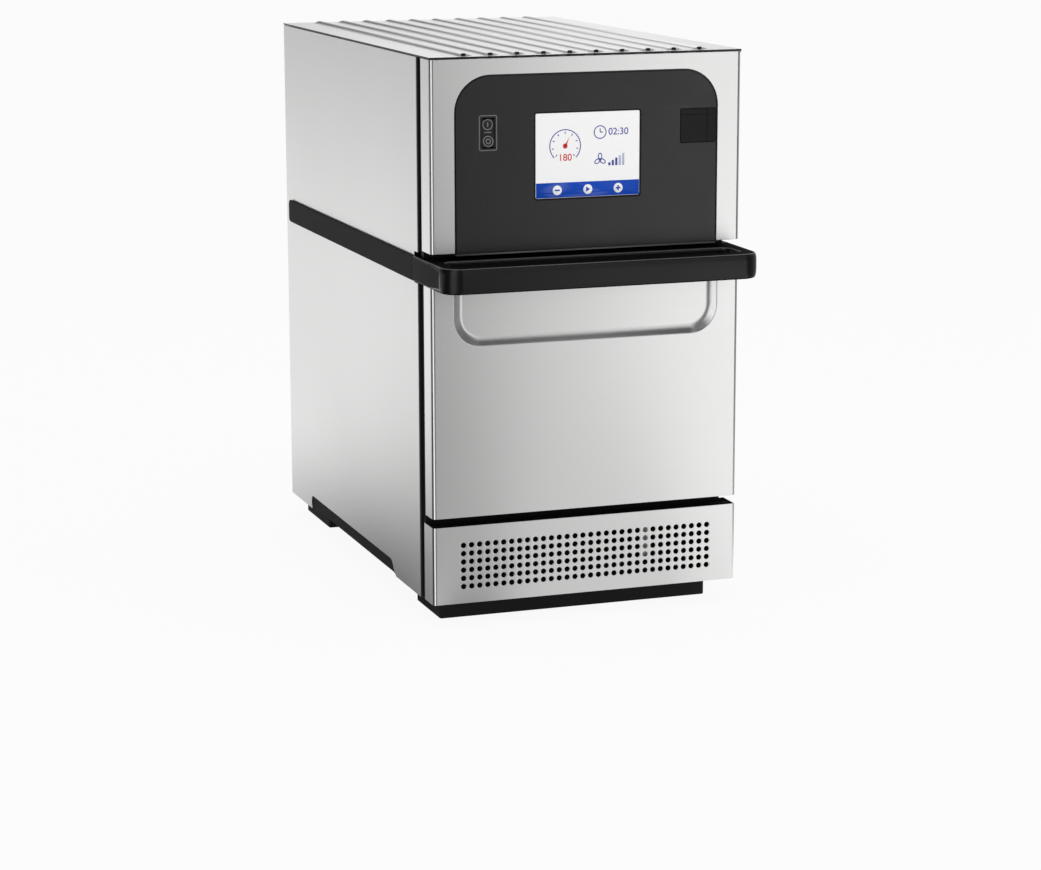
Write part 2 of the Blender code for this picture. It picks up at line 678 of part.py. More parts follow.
# Blower, its fan, motor, heater and guard
BLOWER_SIDE = 0.0375
BLOWER_DEPTH = 0.058
BLOWER_RISE = 0.006
BLOWER_WALL = 0.0015
BLOWER_PORT_OVERLAP = 0.004
FAN_DEPTH = 0.026
FAN_BLADES = 8
FAN_BLADE_THICKNESS = 0.0016
FAN_BLADE_SWEEP = 24.0
FAN_BLADE_INNER = 0.040
FAN_HUB_RADIUS = 0.011
FAN_CLEARANCE = 0.012
SHAFT_RADIUS = 0.004
SHAFT_END = 0.004
MOTOR_RADIUS = 0.042
MOTOR_LENGTH = 0.070
MOTOR_FLANGE_RADIUS = 0.050
MOTOR_FLANGE = 0.003
HEATER_GAP = 0.010
HEATER_TUBE = 0.0035
HEATER_FLOOR_GAP = 0.002
HEATER_TAIL_ANGLE = 14.0
HEATER_TAIL = 0.012
HEATER_SETBACK = 0.014
GUARD_OVERLAP = 0.010
GUARD_HOLE_RADIUS = 0.0085
GUARD_RING_SHARES = (0.36, 0.72)
GUARD_RING_COUNTS = (6, 12)

BLOWER_HALF_WIDTH = CAVITY_HALF - BLOWER_SIDE
BLOWER_FRONT = CAVITY_SHELL_BACK + SEAT_GAP
BLOWER_BACK = BLOWER_FRONT + BLOWER_DEPTH
BLOWER_BOTTOM = CAVITY_FLOOR + BLOWER_RISE
BLOWER_Z = CAVITY_FLOOR + CAVITY_HEIGHT / 2
HEATER_RADIUS = CAVITY_HEIGHT / 2 - BLOWER_RISE - BLOWER_WALL - HEATER_TUBE - HEATER_FLOOR_GAP
FAN_RADIUS = HEATER_RADIUS - HEATER_GAP
FAN_FRONT = BLOWER_FRONT + FAN_CLEARANCE / 2
BLOWER_PORT_RADIUS = FAN_RADIUS - BLOWER_PORT_OVERLAP
GUARD_RADIUS = BLOWER_PORT_RADIUS + GUARD_OVERLAP
MOTOR_FRONT = BLOWER_BACK + SEAT_GAP
HEATER_Y = BLOWER_BACK - HEATER_SETBACK


def blower_housing():
    """The casing behind the cavity that the fan runs in, open forward to the port and up to the duct."""
    half = BLOWER_HALF_WIDTH
    outline = rounded(-half, half, BLOWER_BOTTOM, DUCT_TOP, CAVITY_CORNER)
    shell = add_object("blower_housing", prism("XZ", outline, BLOWER_FRONT, BLOWER_BACK), *ZINC)
    wall = BLOWER_WALL
    room = rounded(wall - half, half - wall, BLOWER_BOTTOM + wall, DUCT_TOP - wall, CAVITY_CORNER - wall)
    cut(shell, prism("XZ", room, BLOWER_FRONT - OVERRUN, BLOWER_BACK - wall), "room")
    bores = prism("XZ", circle(0, BLOWER_Z, SHAFT_RADIUS * 2, 16), BLOWER_BACK - OVERRUN,
                  BLOWER_BACK + OVERRUN)
    for tail in heater_tails():
        prism("XZ", circle(tail[0], tail[1], HEATER_TUBE + SEAT_GAP * 2, 12), BLOWER_BACK - OVERRUN,
              BLOWER_BACK + OVERRUN, bm=bores)
    cut(shell, bores, "bores")


def heater_tails():
    """Places of the two ends of the heater ring, as (x, z)."""
    places = []
    for side in (-1, 1):
        angle = math.radians(-90 + side * HEATER_TAIL_ANGLE)
        places.append((HEATER_RADIUS * math.cos(angle), BLOWER_Z + HEATER_RADIUS * math.sin(angle)))
    return places


def heater_element():
    """A tubular ring round the fan whose ends turn back through the casing."""
    start = -90 + HEATER_TAIL_ANGLE
    points = [(x, HEATER_Y, z) for x, z in
              arc(0, BLOWER_Z, HEATER_RADIUS, start, 270 - HEATER_TAIL_ANGLE, 18)]
    tail = BLOWER_BACK + HEATER_TAIL
    points = [(points[0][0], tail, points[0][2]), *points, (points[-1][0], tail, points[-1][2])]
    curve = bpy.data.curves.new("heater_element", "CURVE")
    curve.dimensions = "3D"
    curve.bevel_depth = HEATER_TUBE
    curve.bevel_resolution = 1
    curve.use_fill_caps = True
    spline = curve.splines.new("POLY")
    spline.points.add(len(points) - 1)
    for place, point in zip(spline.points, points):
        place.co = (*point, 1)
    curve.materials.append(make_material("heater_element", (0.16, 0.15, 0.15), 0.5, 1.0))
    bpy.context.scene.collection.objects.link(bpy.data.objects.new("heater_element", curve))


def convection_fan():
    """A radial fan wheel: a disc with a hub and swept blades, turning on the motor's shaft."""
    centre = (0, FAN_FRONT, BLOWER_Z)
    disc_back = FAN_DEPTH + SHEET
    hub_front = disc_back - FAN_DEPTH / 2
    bore = SHAFT_RADIUS + SEAT_GAP
    profile = [(bore, hub_front), (FAN_HUB_RADIUS, hub_front), (FAN_HUB_RADIUS, FAN_DEPTH),
               (FAN_RADIUS, FAN_DEPTH), (FAN_RADIUS, disc_back), (bore, disc_back)]
    fan = add_object("convection_fan", turned(profile, 20, centre, "Y"), *ZINC, origin=centre)
    blades = bmesh.new()
    for index in range(FAN_BLADES):
        turn = math.tau * index / FAN_BLADES
        outline = []
        for share, side in ((0, -1), (1, -1), (1, 1), (0, 1)):
            radius = FAN_BLADE_INNER + (FAN_RADIUS - FAN_BLADE_INNER) * share
            sweep = math.radians(FAN_BLADE_SWEEP) * share
            angle = turn + sweep + side * FAN_BLADE_THICKNESS / (2 * radius)
            outline.append((radius * math.cos(angle), radius * math.sin(angle)))
        prism("XZ", outline, 0, FAN_DEPTH + SHEET / 2, bm=blades)
    bmesh.ops.translate(blades, verts=blades.verts, vec=(0, FAN_FRONT, BLOWER_Z))
    join(fan, blades, "blades")


def fan_motor():
    """The motor behind the casing, with its flange, its finned can and its shaft."""
    shaft_tip = FAN_FRONT + FAN_DEPTH / 2 - SHAFT_END
    back = MOTOR_FRONT + MOTOR_LENGTH
    profile = [(0, shaft_tip), (SHAFT_RADIUS, shaft_tip), (SHAFT_RADIUS, MOTOR_FRONT),
               (MOTOR_FLANGE_RADIUS, MOTOR_FRONT), (MOTOR_FLANGE_RADIUS, MOTOR_FRONT + MOTOR_FLANGE),
               (MOTOR_RADIUS, MOTOR_FRONT + MOTOR_FLANGE), (MOTOR_RADIUS, back - MOTOR_FLANGE),
               (MOTOR_RADIUS - MOTOR_FLANGE, back), (0, back)]
    add_object("fan_motor", turned(profile, 18, (0, 0, BLOWER_Z), "Y"), (0.30, 0.30, 0.31), 0.5, 0.8)


def fan_guard():
    """The perforated cover over the blower port, on the cavity's back wall."""
    holes = [circle(0, BLOWER_Z, GUARD_HOLE_RADIUS, 6)]
    for share, count in zip(GUARD_RING_SHARES, GUARD_RING_COUNTS):
        for index in range(count):
            angle = math.tau * index / count
            radius = GUARD_RADIUS * share
            holes.append(circle(radius * math.cos(angle), BLOWER_Z + radius * math.sin(angle),
                                GUARD_HOLE_RADIUS, 6))
    back = CAVITY_BACK - SEAT_GAP
    bm = prism("XZ", circle(0, BLOWER_Z, GUARD_RADIUS, 24), back - SHEET, back, holes=holes)
    add_object("fan_guard", bm, *STEEL)


def air_duct():
    """The duct that leads hot air from the casing forward over the cavity's ceiling."""
    half = DUCT_PORT_HALF_WIDTH + CAVITY_CORNER
    start = CAVITY_FRONT + DUCT_PORT_START - CAVITY_CORNER
    end = BLOWER_FRONT - SEAT_GAP
    slope = DUCT_HEIGHT / 2
    outline = [(start, DUCT_BOTTOM), (end, DUCT_BOTTOM), (end, DUCT_TOP), (start + slope, DUCT_TOP),
               (start, DUCT_TOP - slope)]
    duct = add_object("air_duct", prism("YZ", outline, -half, half), *ZINC)
    wall = BLOWER_WALL
    inner = [(start + wall, DUCT_BOTTOM - OVERRUN), (end + OVERRUN, DUCT_BOTTOM - OVERRUN),
             (end + OVERRUN, DUCT_TOP - wall), (start + slope + wall / 2, DUCT_TOP - wall),
             (start + wall, DUCT_TOP - slope - wall / 2)]
    cut(duct, prism("YZ", inner, wall - half, half - wall), "room")


# Jet tray under the ceiling
IMPINGER_DROP = 0.014
IMPINGER_SIDE = 0.0205
IMPINGER_START = 0.030
IMPINGER_MARGIN = 0.018
IMPINGER_PITCH = 0.046
IMPINGER_HOLE_RADIUS = 0.008


def impinger_plate():
    """The perforated tray under the ceiling that turns the air into jets."""
    low = CAVITY_TOP - IMPINGER_DROP
    high = CAVITY_TOP - SEAT_GAP
    half = CAVITY_HALF - IMPINGER_SIDE
    start = CAVITY_FRONT + IMPINGER_START
    end = CAVITY_BACK - SEAT_GAP - SHEET
    columns = int((half - IMPINGER_MARGIN) * 2 / IMPINGER_PITCH)
    rows = int((end - start - IMPINGER_MARGIN) / IMPINGER_PITCH)
    outline = [(-half, high), (-half, low), (half, low), (half, high), (half - SHEET, high),
               (half - SHEET, low + SHEET), (SHEET - half, low + SHEET), (SHEET - half, high)]
    tray = add_object("impinger_plate", prism("XZ", outline, start, end), *STEEL)
    holes = bmesh.new()
    middle_y = (start + end) / 2
    for row in range(rows):
        for column in range(columns):
            x = (column - (columns - 1) / 2) * IMPINGER_PITCH
            y = middle_y + (row - (rows - 1) / 2) * IMPINGER_PITCH
            prism("XY", circle(x, y, IMPINGER_HOLE_RADIUS, 6), low - OVERRUN, low + OVERRUN, bm=holes)
    cut(tray, holes, "jets")


# Insulation slabs
INSULATION_MARGIN = 0.006


def insulation(name, side):
    """The glass wool slab between the cavity and a side panel."""
    near = CAVITY_HALF + CAVITY_WALL + SEAT_GAP
    far = SIDE_INNER - SEAT_GAP
    low_x, high_x = sorted((side * near, side * far))
    start = CAVITY_FRONT + SHEET + SEAT_GAP
    bm = block((low_x, start, CAVITY_FLOOR), (high_x, CAVITY_SHELL_BACK, CAVITY_TOP - INSULATION_MARGIN))
    slab = add_object(name, bm, (0.80, 0.78, 0.70), 0.95)
    soften(slab, INSULATION_MARGIN / 4, 1)


# Rack, its ledges and the cooking plate
RUNNER_RISE = 0.016
RUNNER_DEPTH = 0.007
RUNNER_HEIGHT = 0.008
RUNNER_SETBACK = 0.016
RUNNER_STOP = 0.004
RACK_ROD = 0.0022
RACK_RODS = 9
RACK_SIDE_GAP = 0.0012
RACK_SHORTENING = 0.004
PLATE_SIDE_ROOM = 0.0175
PLATE_OVERHANG = 0.0026
PLATE_THICKNESS = 0.004
PLATE_RIM = 0.006
PLATE_RIM_HEIGHT = 0.009
PLATE_CORNER = 0.030

RUNNER_TOP = CAVITY_FLOOR + RUNNER_RISE + RUNNER_HEIGHT
RACK_Z = RUNNER_TOP + SEAT_GAP + RACK_ROD
RACK_HALF_WIDTH = CAVITY_HALF - RACK_SIDE_GAP
RACK_FRONT = CAVITY_FRONT + RUNNER_SETBACK + RUNNER_STOP + SEAT_GAP
RACK_BACK = CAVITY_BACK - RUNNER_SETBACK - RACK_SHORTENING
PLATE_BOTTOM = RACK_Z + RACK_ROD + SEAT_GAP


def rack_ledge(side, bm):
    """A pressed ledge on the cavity's side wall, with a stop at its front end."""
    low_x, high_x = sorted((side * (CAVITY_HALF + CAVITY_WALL / 2), side * (CAVITY_HALF - RUNNER_DEPTH)))
    start = CAVITY_FRONT + RUNNER_SETBACK
    end = CAVITY_BACK - RUNNER_SETBACK
    low = RUNNER_TOP - RUNNER_HEIGHT
    stop = start + RUNNER_STOP
    outline = [(start, low), (end, low), (end, RUNNER_TOP), (stop, RUNNER_TOP),
               (stop, RUNNER_TOP + RACK_ROD), (start, RUNNER_TOP + RACK_ROD)]
    prism("YZ", outline, low_x, high_x, bm=bm)


def rod(start, end, radius, bm):
    """A straight six-sided wire from one point to another."""
    line = Vector(end) - Vector(start)
    side = line.orthogonal().normalized()
    across = line.normalized().cross(side)
    rings = []
    for point in (Vector(start), Vector(end)):
        ring = []
        for index in range(6):
            angle = math.tau * index / 6
            ring.append(point + radius * (math.cos(angle) * side + math.sin(angle) * across))
        rings.append(ring)
    loft(rings, bm=bm)


def oven_rack():
    """The wire rack that lies on the runners."""
    half = RACK_HALF_WIDTH - RACK_ROD
    front, back = RACK_FRONT + RACK_ROD, RACK_BACK - RACK_ROD
    origin = (0, (front + back) / 2, RACK_Z)
    frame = bmesh.new()
    outer = rounded(-RACK_HALF_WIDTH, RACK_HALF_WIDTH, RACK_FRONT, RACK_BACK, PLATE_RIM, 3)
    inner = rounded(RACK_ROD - half, half - RACK_ROD, front + RACK_ROD, back - RACK_ROD,
                    PLATE_RIM / 2, 3)
    prism("XY", outer, RACK_Z - RACK_ROD, RACK_Z + RACK_ROD, holes=[inner], bm=frame)
    rack = add_object("oven_rack", frame, *STEEL, origin=origin)
    bars = bmesh.new()
    for index in range(RACK_RODS):
        x = half * (2 * (index + 1) / (RACK_RODS + 1) - 1)
        rod((x, front, RACK_Z), (x, back, RACK_Z), RACK_ROD * 3 / 4, bars)
    join(rack, bars, "bars")


def cook_plate():
    """The square cooking plate with its raised rim."""
    half = CAVITY_HALF - PLATE_SIDE_ROOM
    middle = (RACK_FRONT + RACK_BACK) / 2
    bottom = PLATE_BOTTOM
    low, high = RACK_FRONT - PLATE_OVERHANG, RACK_BACK + PLATE_OVERHANG
    outer = rounded(-half, half, low, high, PLATE_CORNER)
    origin = (0, middle, bottom)
    plate = add_object("cook_plate", prism("XY", outer, bottom, bottom + PLATE_RIM_HEIGHT),
                       (0.16, 0.16, 0.16), 0.55, 0.0, origin)
    rings = []
    for inset, z in ((2 * PLATE_RIM, bottom + PLATE_THICKNESS),
                     (PLATE_RIM, bottom + PLATE_RIM_HEIGHT + OVERRUN / 4)):
        ring = rounded(inset - half, half - inset, low + inset, high - inset, PLATE_CORNER - inset)
        rings.append([(x, y, z) for x, y in ring])
    cut(plate, loft(rings), "dish")


# Exhaust
CONVERTER_WIDTH = 0.110
CONVERTER_DEPTH = 0.070
EXHAUST_WALL = 0.0012


def catalytic_converter():
    """The honeycomb block that cleans the exhaust air, on the duct."""
    half = CONVERTER_WIDTH / 2
    end = BLOWER_FRONT + BLOWER_DEPTH / 2
    bm = block((OUTLET_OFFSET - half, end - CONVERTER_DEPTH, CONVERTER_BOTTOM),
               (OUTLET_OFFSET + half, end, CONVERTER_BOTTOM + CONVERTER_HEIGHT))
    converter = add_object("catalytic_converter", bm, (0.45, 0.42, 0.36), 0.6, 0.6)
    soften(converter, SHEET, 1)


def exhaust_duct():
    """The flat pipe from the converter to the back cover."""
    half = OUTLET_WIDTH / 2
    low, high = OUTLET_BOTTOM, OUTLET_BOTTOM + OUTLET_HEIGHT
    wall = EXHAUST_WALL
    outline = [(OUTLET_OFFSET - half, low), (OUTLET_OFFSET + half, low),
               (OUTLET_OFFSET + half, high), (OUTLET_OFFSET - half, high)]
    hole = [(OUTLET_OFFSET - half + wall, low + wall), (OUTLET_OFFSET + half - wall, low + wall),
            (OUTLET_OFFSET + half - wall, high - wall), (OUTLET_OFFSET - half + wall, high - wall)]
    start = BLOWER_FRONT + BLOWER_DEPTH / 2 + SEAT_GAP
    add_object("exhaust_duct", prism("XZ", outline, start, REAR_BACK, holes=[hole]), *ZINC)


# Microwave parts
GUIDE_HALF_WIDTH = 0.045
GUIDE_HEIGHT = 0.042
GUIDE_SETBACK = 0.100
GUIDE_OVERHANG = 0.019
GUIDE_FLANGE = 0.008
MAGNETRON_LENGTH = 0.085
MAGNETRON_WIDTH = 0.078
MAGNETRON_HEIGHT = 0.082
MAGNETRON_FINS = 5
MAGNETRON_FIN_THICKNESS = 0.0022
TRANSFORMER_WIDTH = 0.096
TRANSFORMER_DEPTH = 0.080
TRANSFORMER_HEIGHT = 0.086
TRANSFORMER_SIDE = 0.010
COIL_PROUD = 0.016
CAPACITOR_WIDTH = 0.052
CAPACITOR_DEPTH = 0.034
CAPACITOR_HEIGHT = 0.095
CAPACITOR_SIDE = 0.016
CAPACITOR_CORNER_SHARE = 0.44
REAR_BAY_SETBACK = 0.110

GUIDE_TOP = CAVITY_SHELL_BOTTOM - SEAT_GAP
GUIDE_FRONT = CAVITY_FRONT + GUIDE_SETBACK
GUIDE_BACK = CAVITY_BACK + GUIDE_OVERHANG
REAR_BAY = BACK - REAR_BAY_SETBACK


def waveguide():
    """The closed channel under the cavity's floor, with flanged rims."""
    half = GUIDE_HALF_WIDTH
    low = GUIDE_TOP - GUIDE_HEIGHT
    rim = half + GUIDE_FLANGE
    under = GUIDE_TOP - SHEET
    outline = [(-half, low), (half, low), (half, under), (rim, under), (rim, GUIDE_TOP),
               (-rim, GUIDE_TOP), (-rim, under), (-half, under)]
    bm = prism("XZ", outline, GUIDE_FRONT, GUIDE_BACK)
    add_object("waveguide", bm, (0.62, 0.55, 0.38), 0.4, 1.0)


def magnetron():
    """The tube that feeds the waveguide, with its cooling fins between two end plates."""
    start = GUIDE_BACK + SEAT_GAP
    end = start + MAGNETRON_LENGTH
    half = MAGNETRON_WIDTH / 2
    high = GUIDE_TOP
    low = high - MAGNETRON_HEIGHT
    middle = (low + high) / 2
    radius = MAGNETRON_HEIGHT / 4
    profile = [(0, start), (radius, start), (radius, end), (0, end)]
    piece = add_object("magnetron", turned(profile, 12, (0, 0, middle), "Y"), *ZINC)
    fins = bmesh.new()
    for index in range(MAGNETRON_FINS):
        place = start + (MAGNETRON_LENGTH - MAGNETRON_FIN_THICKNESS) * index / (MAGNETRON_FINS - 1)
        block((-half, place, low), (half, place + MAGNETRON_FIN_THICKNESS, high), bm=fins)
    join(piece, fins, "fins")


def hv_transformer():
    """The high voltage transformer: a laminated core with two windings, on the pan."""
    low = PAN_FLOOR + SEAT_GAP
    half = TRANSFORMER_WIDTH / 2
    x = PAN_CENTRE_HALF_WIDTH - TRANSFORMER_SIDE - half
    start, end = REAR_BAY, REAR_BAY + TRANSFORMER_DEPTH
    high = low + TRANSFORMER_HEIGHT
    core = add_object("hv_transformer", block((x - half, start, low), (x + half, end, high)),
                      (0.22, 0.21, 0.20), 0.6, 0.7)
    inset = TRANSFORMER_HEIGHT / 5
    coil = rounded(x - half + inset, x + half - inset, start - COIL_PROUD, end + COIL_PROUD / 2,
                   COIL_PROUD / 2)
    join(core, prism("XY", coil, low + inset, high - inset), "windings")


def hv_capacitor():
    """An oval can with its two terminals."""
    low = PAN_FLOOR + SEAT_GAP
    half = CAPACITOR_WIDTH / 2
    x = CAPACITOR_SIDE + half - PAN_CENTRE_HALF_WIDTH
    start = REAR_BAY
    corner = CAPACITOR_DEPTH * CAPACITOR_CORNER_SHARE
    can = rounded(x - half, x + half, start, start + CAPACITOR_DEPTH, corner)
    high = low + CAPACITOR_HEIGHT
    piece = add_object("hv_capacitor", prism("XY", can, low, high), *ZINC)
    pins = bmesh.new()
    for side in (-1, 1):
        place = circle(x + side * half / 2, start + CAPACITOR_DEPTH / 2, PIN_RADIUS, 10)
        prism("XY", place, high - SHEET, high + CAPACITOR_DEPTH / 4, bm=pins)
    join(piece, pins, "terminals")


# Cooling fan
COOLER_SIZE = 0.108
COOLER_DEPTH = 0.030
COOLER_SIDE = 0.004
COOLER_BORE = 0.050
COOLER_TIP_GAP = 0.0015
COOLER_HUB = 0.019
COOLER_STRUT = 0.004
COOLER_STRUT_DEPTH = 0.005
COOLER_BLADES = 7
COOLER_BLADE_SWEEP = 30.0
COOLER_BLADE_WIDTH = 38.0
COOLER_BLADE_THICKNESS = 0.0022
COOLER_BLADE_STEPS = 3
COOLER_PIN = 0.002

COOLER_OFFSET = COOLER_SIDE + COOLER_SIZE / 2 - PAN_CENTRE_HALF_WIDTH
COOLER_FRONT = FRAME_BACK + SEAT_GAP
COOLER_BACK = COOLER_FRONT + COOLER_DEPTH
COOLER_Z = PAN_FLOOR + SEAT_GAP + COOLER_SIZE / 2


def cooling_fan_housing():
    """The square frame of the cooling fan, with the spider that holds its motor and its pin."""
    half = COOLER_SIZE / 2
    outline = rounded(COOLER_OFFSET - half, COOLER_OFFSET + half, COOLER_Z - half, COOLER_Z + half,
                      COOLER_STRUT)
    bore = circle(COOLER_OFFSET, COOLER_Z, COOLER_BORE, 24)
    bm = prism("XZ", outline, COOLER_FRONT, COOLER_BACK, holes=[bore])
    housing = add_object("cooling_fan_housing", bm, *DARK_PLASTIC)
    reach = COOLER_BORE + COOLER_STRUT / 2
    strut = COOLER_STRUT / 2
    back = COOLER_BACK
    front = back - COOLER_STRUT_DEPTH
    level = prism("XZ", rounded(COOLER_OFFSET - reach, COOLER_OFFSET + reach, COOLER_Z - strut,
                                COOLER_Z + strut, 0), front, back)
    join(housing, level, "level_arm")
    upright = prism("XZ", rounded(COOLER_OFFSET - strut, COOLER_OFFSET + strut, COOLER_Z - reach,
                                  COOLER_Z + reach, 0), front - SEAT_GAP / 3, back - SEAT_GAP / 3)
    join(housing, upright, "upright_arm")
    tip = COOLER_FRONT + COOLER_DEPTH / 4
    profile = [(0, tip), (COOLER_PIN, tip), (COOLER_PIN, front - SEAT_GAP), (COOLER_HUB, front - SEAT_GAP),
               (COOLER_HUB, back - SEAT_GAP), (0, back - SEAT_GAP)]
    join(housing, turned(profile, 14, (COOLER_OFFSET, 0, COOLER_Z), "Y"), "hub")


def cooling_fan_rotor():
    """The axial rotor: a cup with pitched blades, turning on the housing's pin."""
    start = COOLER_FRONT + COOLER_STRUT_DEPTH / 2
    end = COOLER_BACK - COOLER_STRUT_DEPTH - 2 * SEAT_GAP
    centre = (COOLER_OFFSET, start, COOLER_Z)
    depth = end - start
    bore = COOLER_PIN + SEAT_GAP
    profile = [(bore, SHEET), (bore, depth), (COOLER_HUB, depth), (COOLER_HUB, SHEET),
               (COOLER_HUB - SHEET, 0), (bore, 0)]
    rotor = add_object("cooling_fan_rotor", turned(profile, 14, centre, "Y"), *DARK_PLASTIC, origin=centre)
    blades = bmesh.new()
    tip = COOLER_BORE - COOLER_TIP_GAP
    root = COOLER_HUB - SHEET
    half = COOLER_BLADE_THICKNESS / 2
    margin = depth / 8
    for index in range(COOLER_BLADES):
        rings = []
        for step in range(COOLER_BLADE_STEPS + 1):
            share = step / COOLER_BLADE_STEPS
            radius = root + (tip - root) * share
            middle = math.tau * index / COOLER_BLADES + math.radians(COOLER_BLADE_SWEEP) * share
            spread = math.radians(COOLER_BLADE_WIDTH) / 2
            ring = []
            for along, side in ((-1, -1), (1, -1), (1, 1), (-1, 1)):
                angle = middle + along * spread
                y = depth / 2 + along * (depth / 2 - margin) + side * half
                ring.append((radius * math.cos(angle), y, radius * math.sin(angle)))
            rings.append(ring)
        loft(rings, bm=blades)
    bmesh.ops.translate(blades, verts=blades.verts, vec=centre)
    join(rotor, blades, "blades")


# Electronics shelf and power board
TRAY_START = 0.062
TRAY_END_SETBACK = 0.030
TRAY_FLANGE = 0.012
TRAY_GAP = 0.003
POWER_BOARD_WIDTH = 0.190
POWER_BOARD_DEPTH = 0.150
POWER_BOARD_BACK_SETBACK = 0.090
STANDOFF_HEIGHT = 0.008
STANDOFF_RADIUS = 0.003
STANDOFF_INSET = 0.010
RELAYS = 4
RELAY_WIDTH = 0.015

TRAY_BOTTOM = CONVERTER_BOTTOM + CONVERTER_HEIGHT + TRAY_GAP


def electronics_tray():
    """The shelf over the hot parts, hung between the side panels."""
    half = SIDE_INNER - SEAT_GAP
    high = TRAY_BOTTOM + TRAY_FLANGE
    outline = [(-half, TRAY_BOTTOM), (half, TRAY_BOTTOM), (half, high), (half - SHEET, high),
               (half - SHEET, TRAY_BOTTOM + SHEET), (SHEET - half, TRAY_BOTTOM + SHEET),
               (SHEET - half, high), (-half, high)]
    bm = prism("XZ", outline, FRONT + TRAY_START, BACK - TRAY_END_SETBACK)
    add_object("electronics_tray", bm, *ZINC)


def power_board():
    """The supply and relay board on its standoffs, with heat sink, relays and capacitors."""
    bottom = TRAY_BOTTOM + SHEET + SEAT_GAP
    low = bottom + STANDOFF_HEIGHT
    half = POWER_BOARD_WIDTH / 2
    back = BACK - POWER_BOARD_BACK_SETBACK
    front = back - POWER_BOARD_DEPTH
    top = low + BOARD_THICKNESS
    bm = block((-half, front, low), (half, back, top))
    board = add_object("power_board", bm, (0.05, 0.20, 0.09), 0.5)
    parts = bmesh.new()
    inset = STANDOFF_INSET
    for x in (inset - half, half - inset):
        for y in (front + inset, back - inset):
            prism("XY", circle(x, y, STANDOFF_RADIUS, 6), bottom, low + BOARD_THICKNESS / 2, bm=parts)
    root = top - BOARD_THICKNESS / 2
    unit = RELAY_WIDTH
    for index in range(RELAYS):
        x = unit * 3 / 2 * index - half + 2 * unit
        block((x, front + 2 * unit, root), (x + unit, front + 4 * unit, top + unit), bm=parts)
        prism("XY", circle(x + unit / 2, back - 3 * unit, unit / 2, 10), root, top + 2 * unit, bm=parts)
    block((half - 4 * unit, front + unit, root), (half - 2 * unit, back - unit, top + 2 * unit), bm=parts)
    join(board, parts, "parts")


def channel(lip):
    """Plan of a front sheet: its sides are bent back, and their back edges inward by the lip."""
    half, end, radius = HALF_WIDTH, MODULE_BACK, BEND_RADIUS
    outer = [(half, end), *arc(half - radius, FRONT + radius, radius, 0, -90, 4),
             *arc(radius - half, FRONT + radius, radius, 270, 180, 4), (-half, end)]
    inner_half = half - SHEET
    inner = radius - SHEET
    inside = [*arc(radius - half, FRONT + radius, inner, 180, 270, 4),
              *arc(half - radius, FRONT + radius, inner, -90, 0, 4)]
    if lip == 0:
        return [*outer, (-inner_half, end), *inside, (inner_half, end)]
    return [*outer, (lip - half, end), (lip - half, end - SHEET), (-inner_half, end - SHEET), *inside,
            (inner_half, end - SHEET), (half - lip, end - SHEET), (half - lip, end)]


def grip_outline(grow, high):
    """Front view of the grip recess, open at its top and grown by the given width."""
    half = GRIP_HALF_WIDTH + grow
    low = DOOR_TOP - GRIP_DROP - grow
    corner = max(GRIP_CORNER + grow, SHEET)
    return rounded(-half, half, low, high, (corner, corner, 0, 0), 6)


def door_outer_skin():
    """The steel front of the door, its sides bent back, with the pressed recess behind the handle."""
    plan = channel(0)
    skin = add_object("door_outer_skin", prism("XY", plan, DOOR_BOTTOM, DOOR_TOP), *STEEL)
    rings = []
    for grow, depth in ((SHEET, SHEET / 2), (SHEET - GRIP_SLOPE, GRIP_DEPTH + SHEET)):
        rings.append([(x, FRONT + depth, z) for x, z in grip_outline(grow, DOOR_TOP)])
    join(skin, loft(rings), "recess_back")
    rings = []
    slope = GRIP_SLOPE / GRIP_DEPTH
    for depth in (-SHEET, GRIP_DEPTH):
        rings.append([(x, FRONT + depth, z) for x, z in
                      grip_outline(-depth * slope, DOOR_TOP + OVERRUN)])
    cut(skin, loft(rings), "recess")


def door_core():
    """The filled inner box of the door."""
    half = HALF_WIDTH - SHEET - SEAT_GAP
    low, high = CORE_BOTTOM, DOOR_TOP
    core = add_object("door_core", block((-half, FRONT + SHEET + SEAT_GAP, low), (half, CORE_BACK, high)),
                      (0.30, 0.30, 0.30), 0.7, 0.6)
    room = SHEET + 2 * SEAT_GAP
    relief = prism("XZ", grip_outline(room, high + OVERRUN), FRONT, FRONT + GRIP_DEPTH + room)
    cut(core, relief, "relief")
    corners = bmesh.new()
    for side in (-1, 1):
        edge = side * half
        inner = side * (half - BEND_RADIUS)
        wedge = [(edge + side * OVERRUN, FRONT), (inner, FRONT), (inner, FRONT + SHEET + SEAT_GAP),
                 (edge + side * OVERRUN, FRONT + SHEET + SEAT_GAP + BEND_RADIUS + OVERRUN)]
        prism("XY", wedge, low - OVERRUN, high + OVERRUN, bm=corners)
    cut(core, corners, "corners")


def door_inner_plate():
    """The steel liner of the door with the raised block that plugs the cavity."""
    half = CAVITY_HALF + INNER_PLATE_MARGIN
    low = CORE_BOTTOM
    high = CAVITY_TOP + INNER_PLATE_MARGIN
    sheet = rounded(-half, half, low, high, SHEET)
    plate = add_object("door_inner_plate", prism("XZ", sheet, INNER_PLATE_FRONT, INNER_PLATE_BACK), *STEEL)
    rings = []
    tip = CAVITY_FRONT - SEAT_GAP + RUNNING_GAP / 2 - SHEET
    for inset, y in ((0, INNER_PLATE_FRONT + SHEET / 2), (0, tip - PLUG_DEPTH / 4), (PLUG_DEPTH / 4, tip)):
        gap = RUNNING_GAP + inset
        rings.append([(x, y, z) for x, z in
                      rounded(gap - CAVITY_HALF, CAVITY_HALF - gap, CAVITY_FLOOR + gap, CAVITY_TOP - gap,
                              PLUG_CORNER, 4)])
    join(plate, loft(rings), "plug")


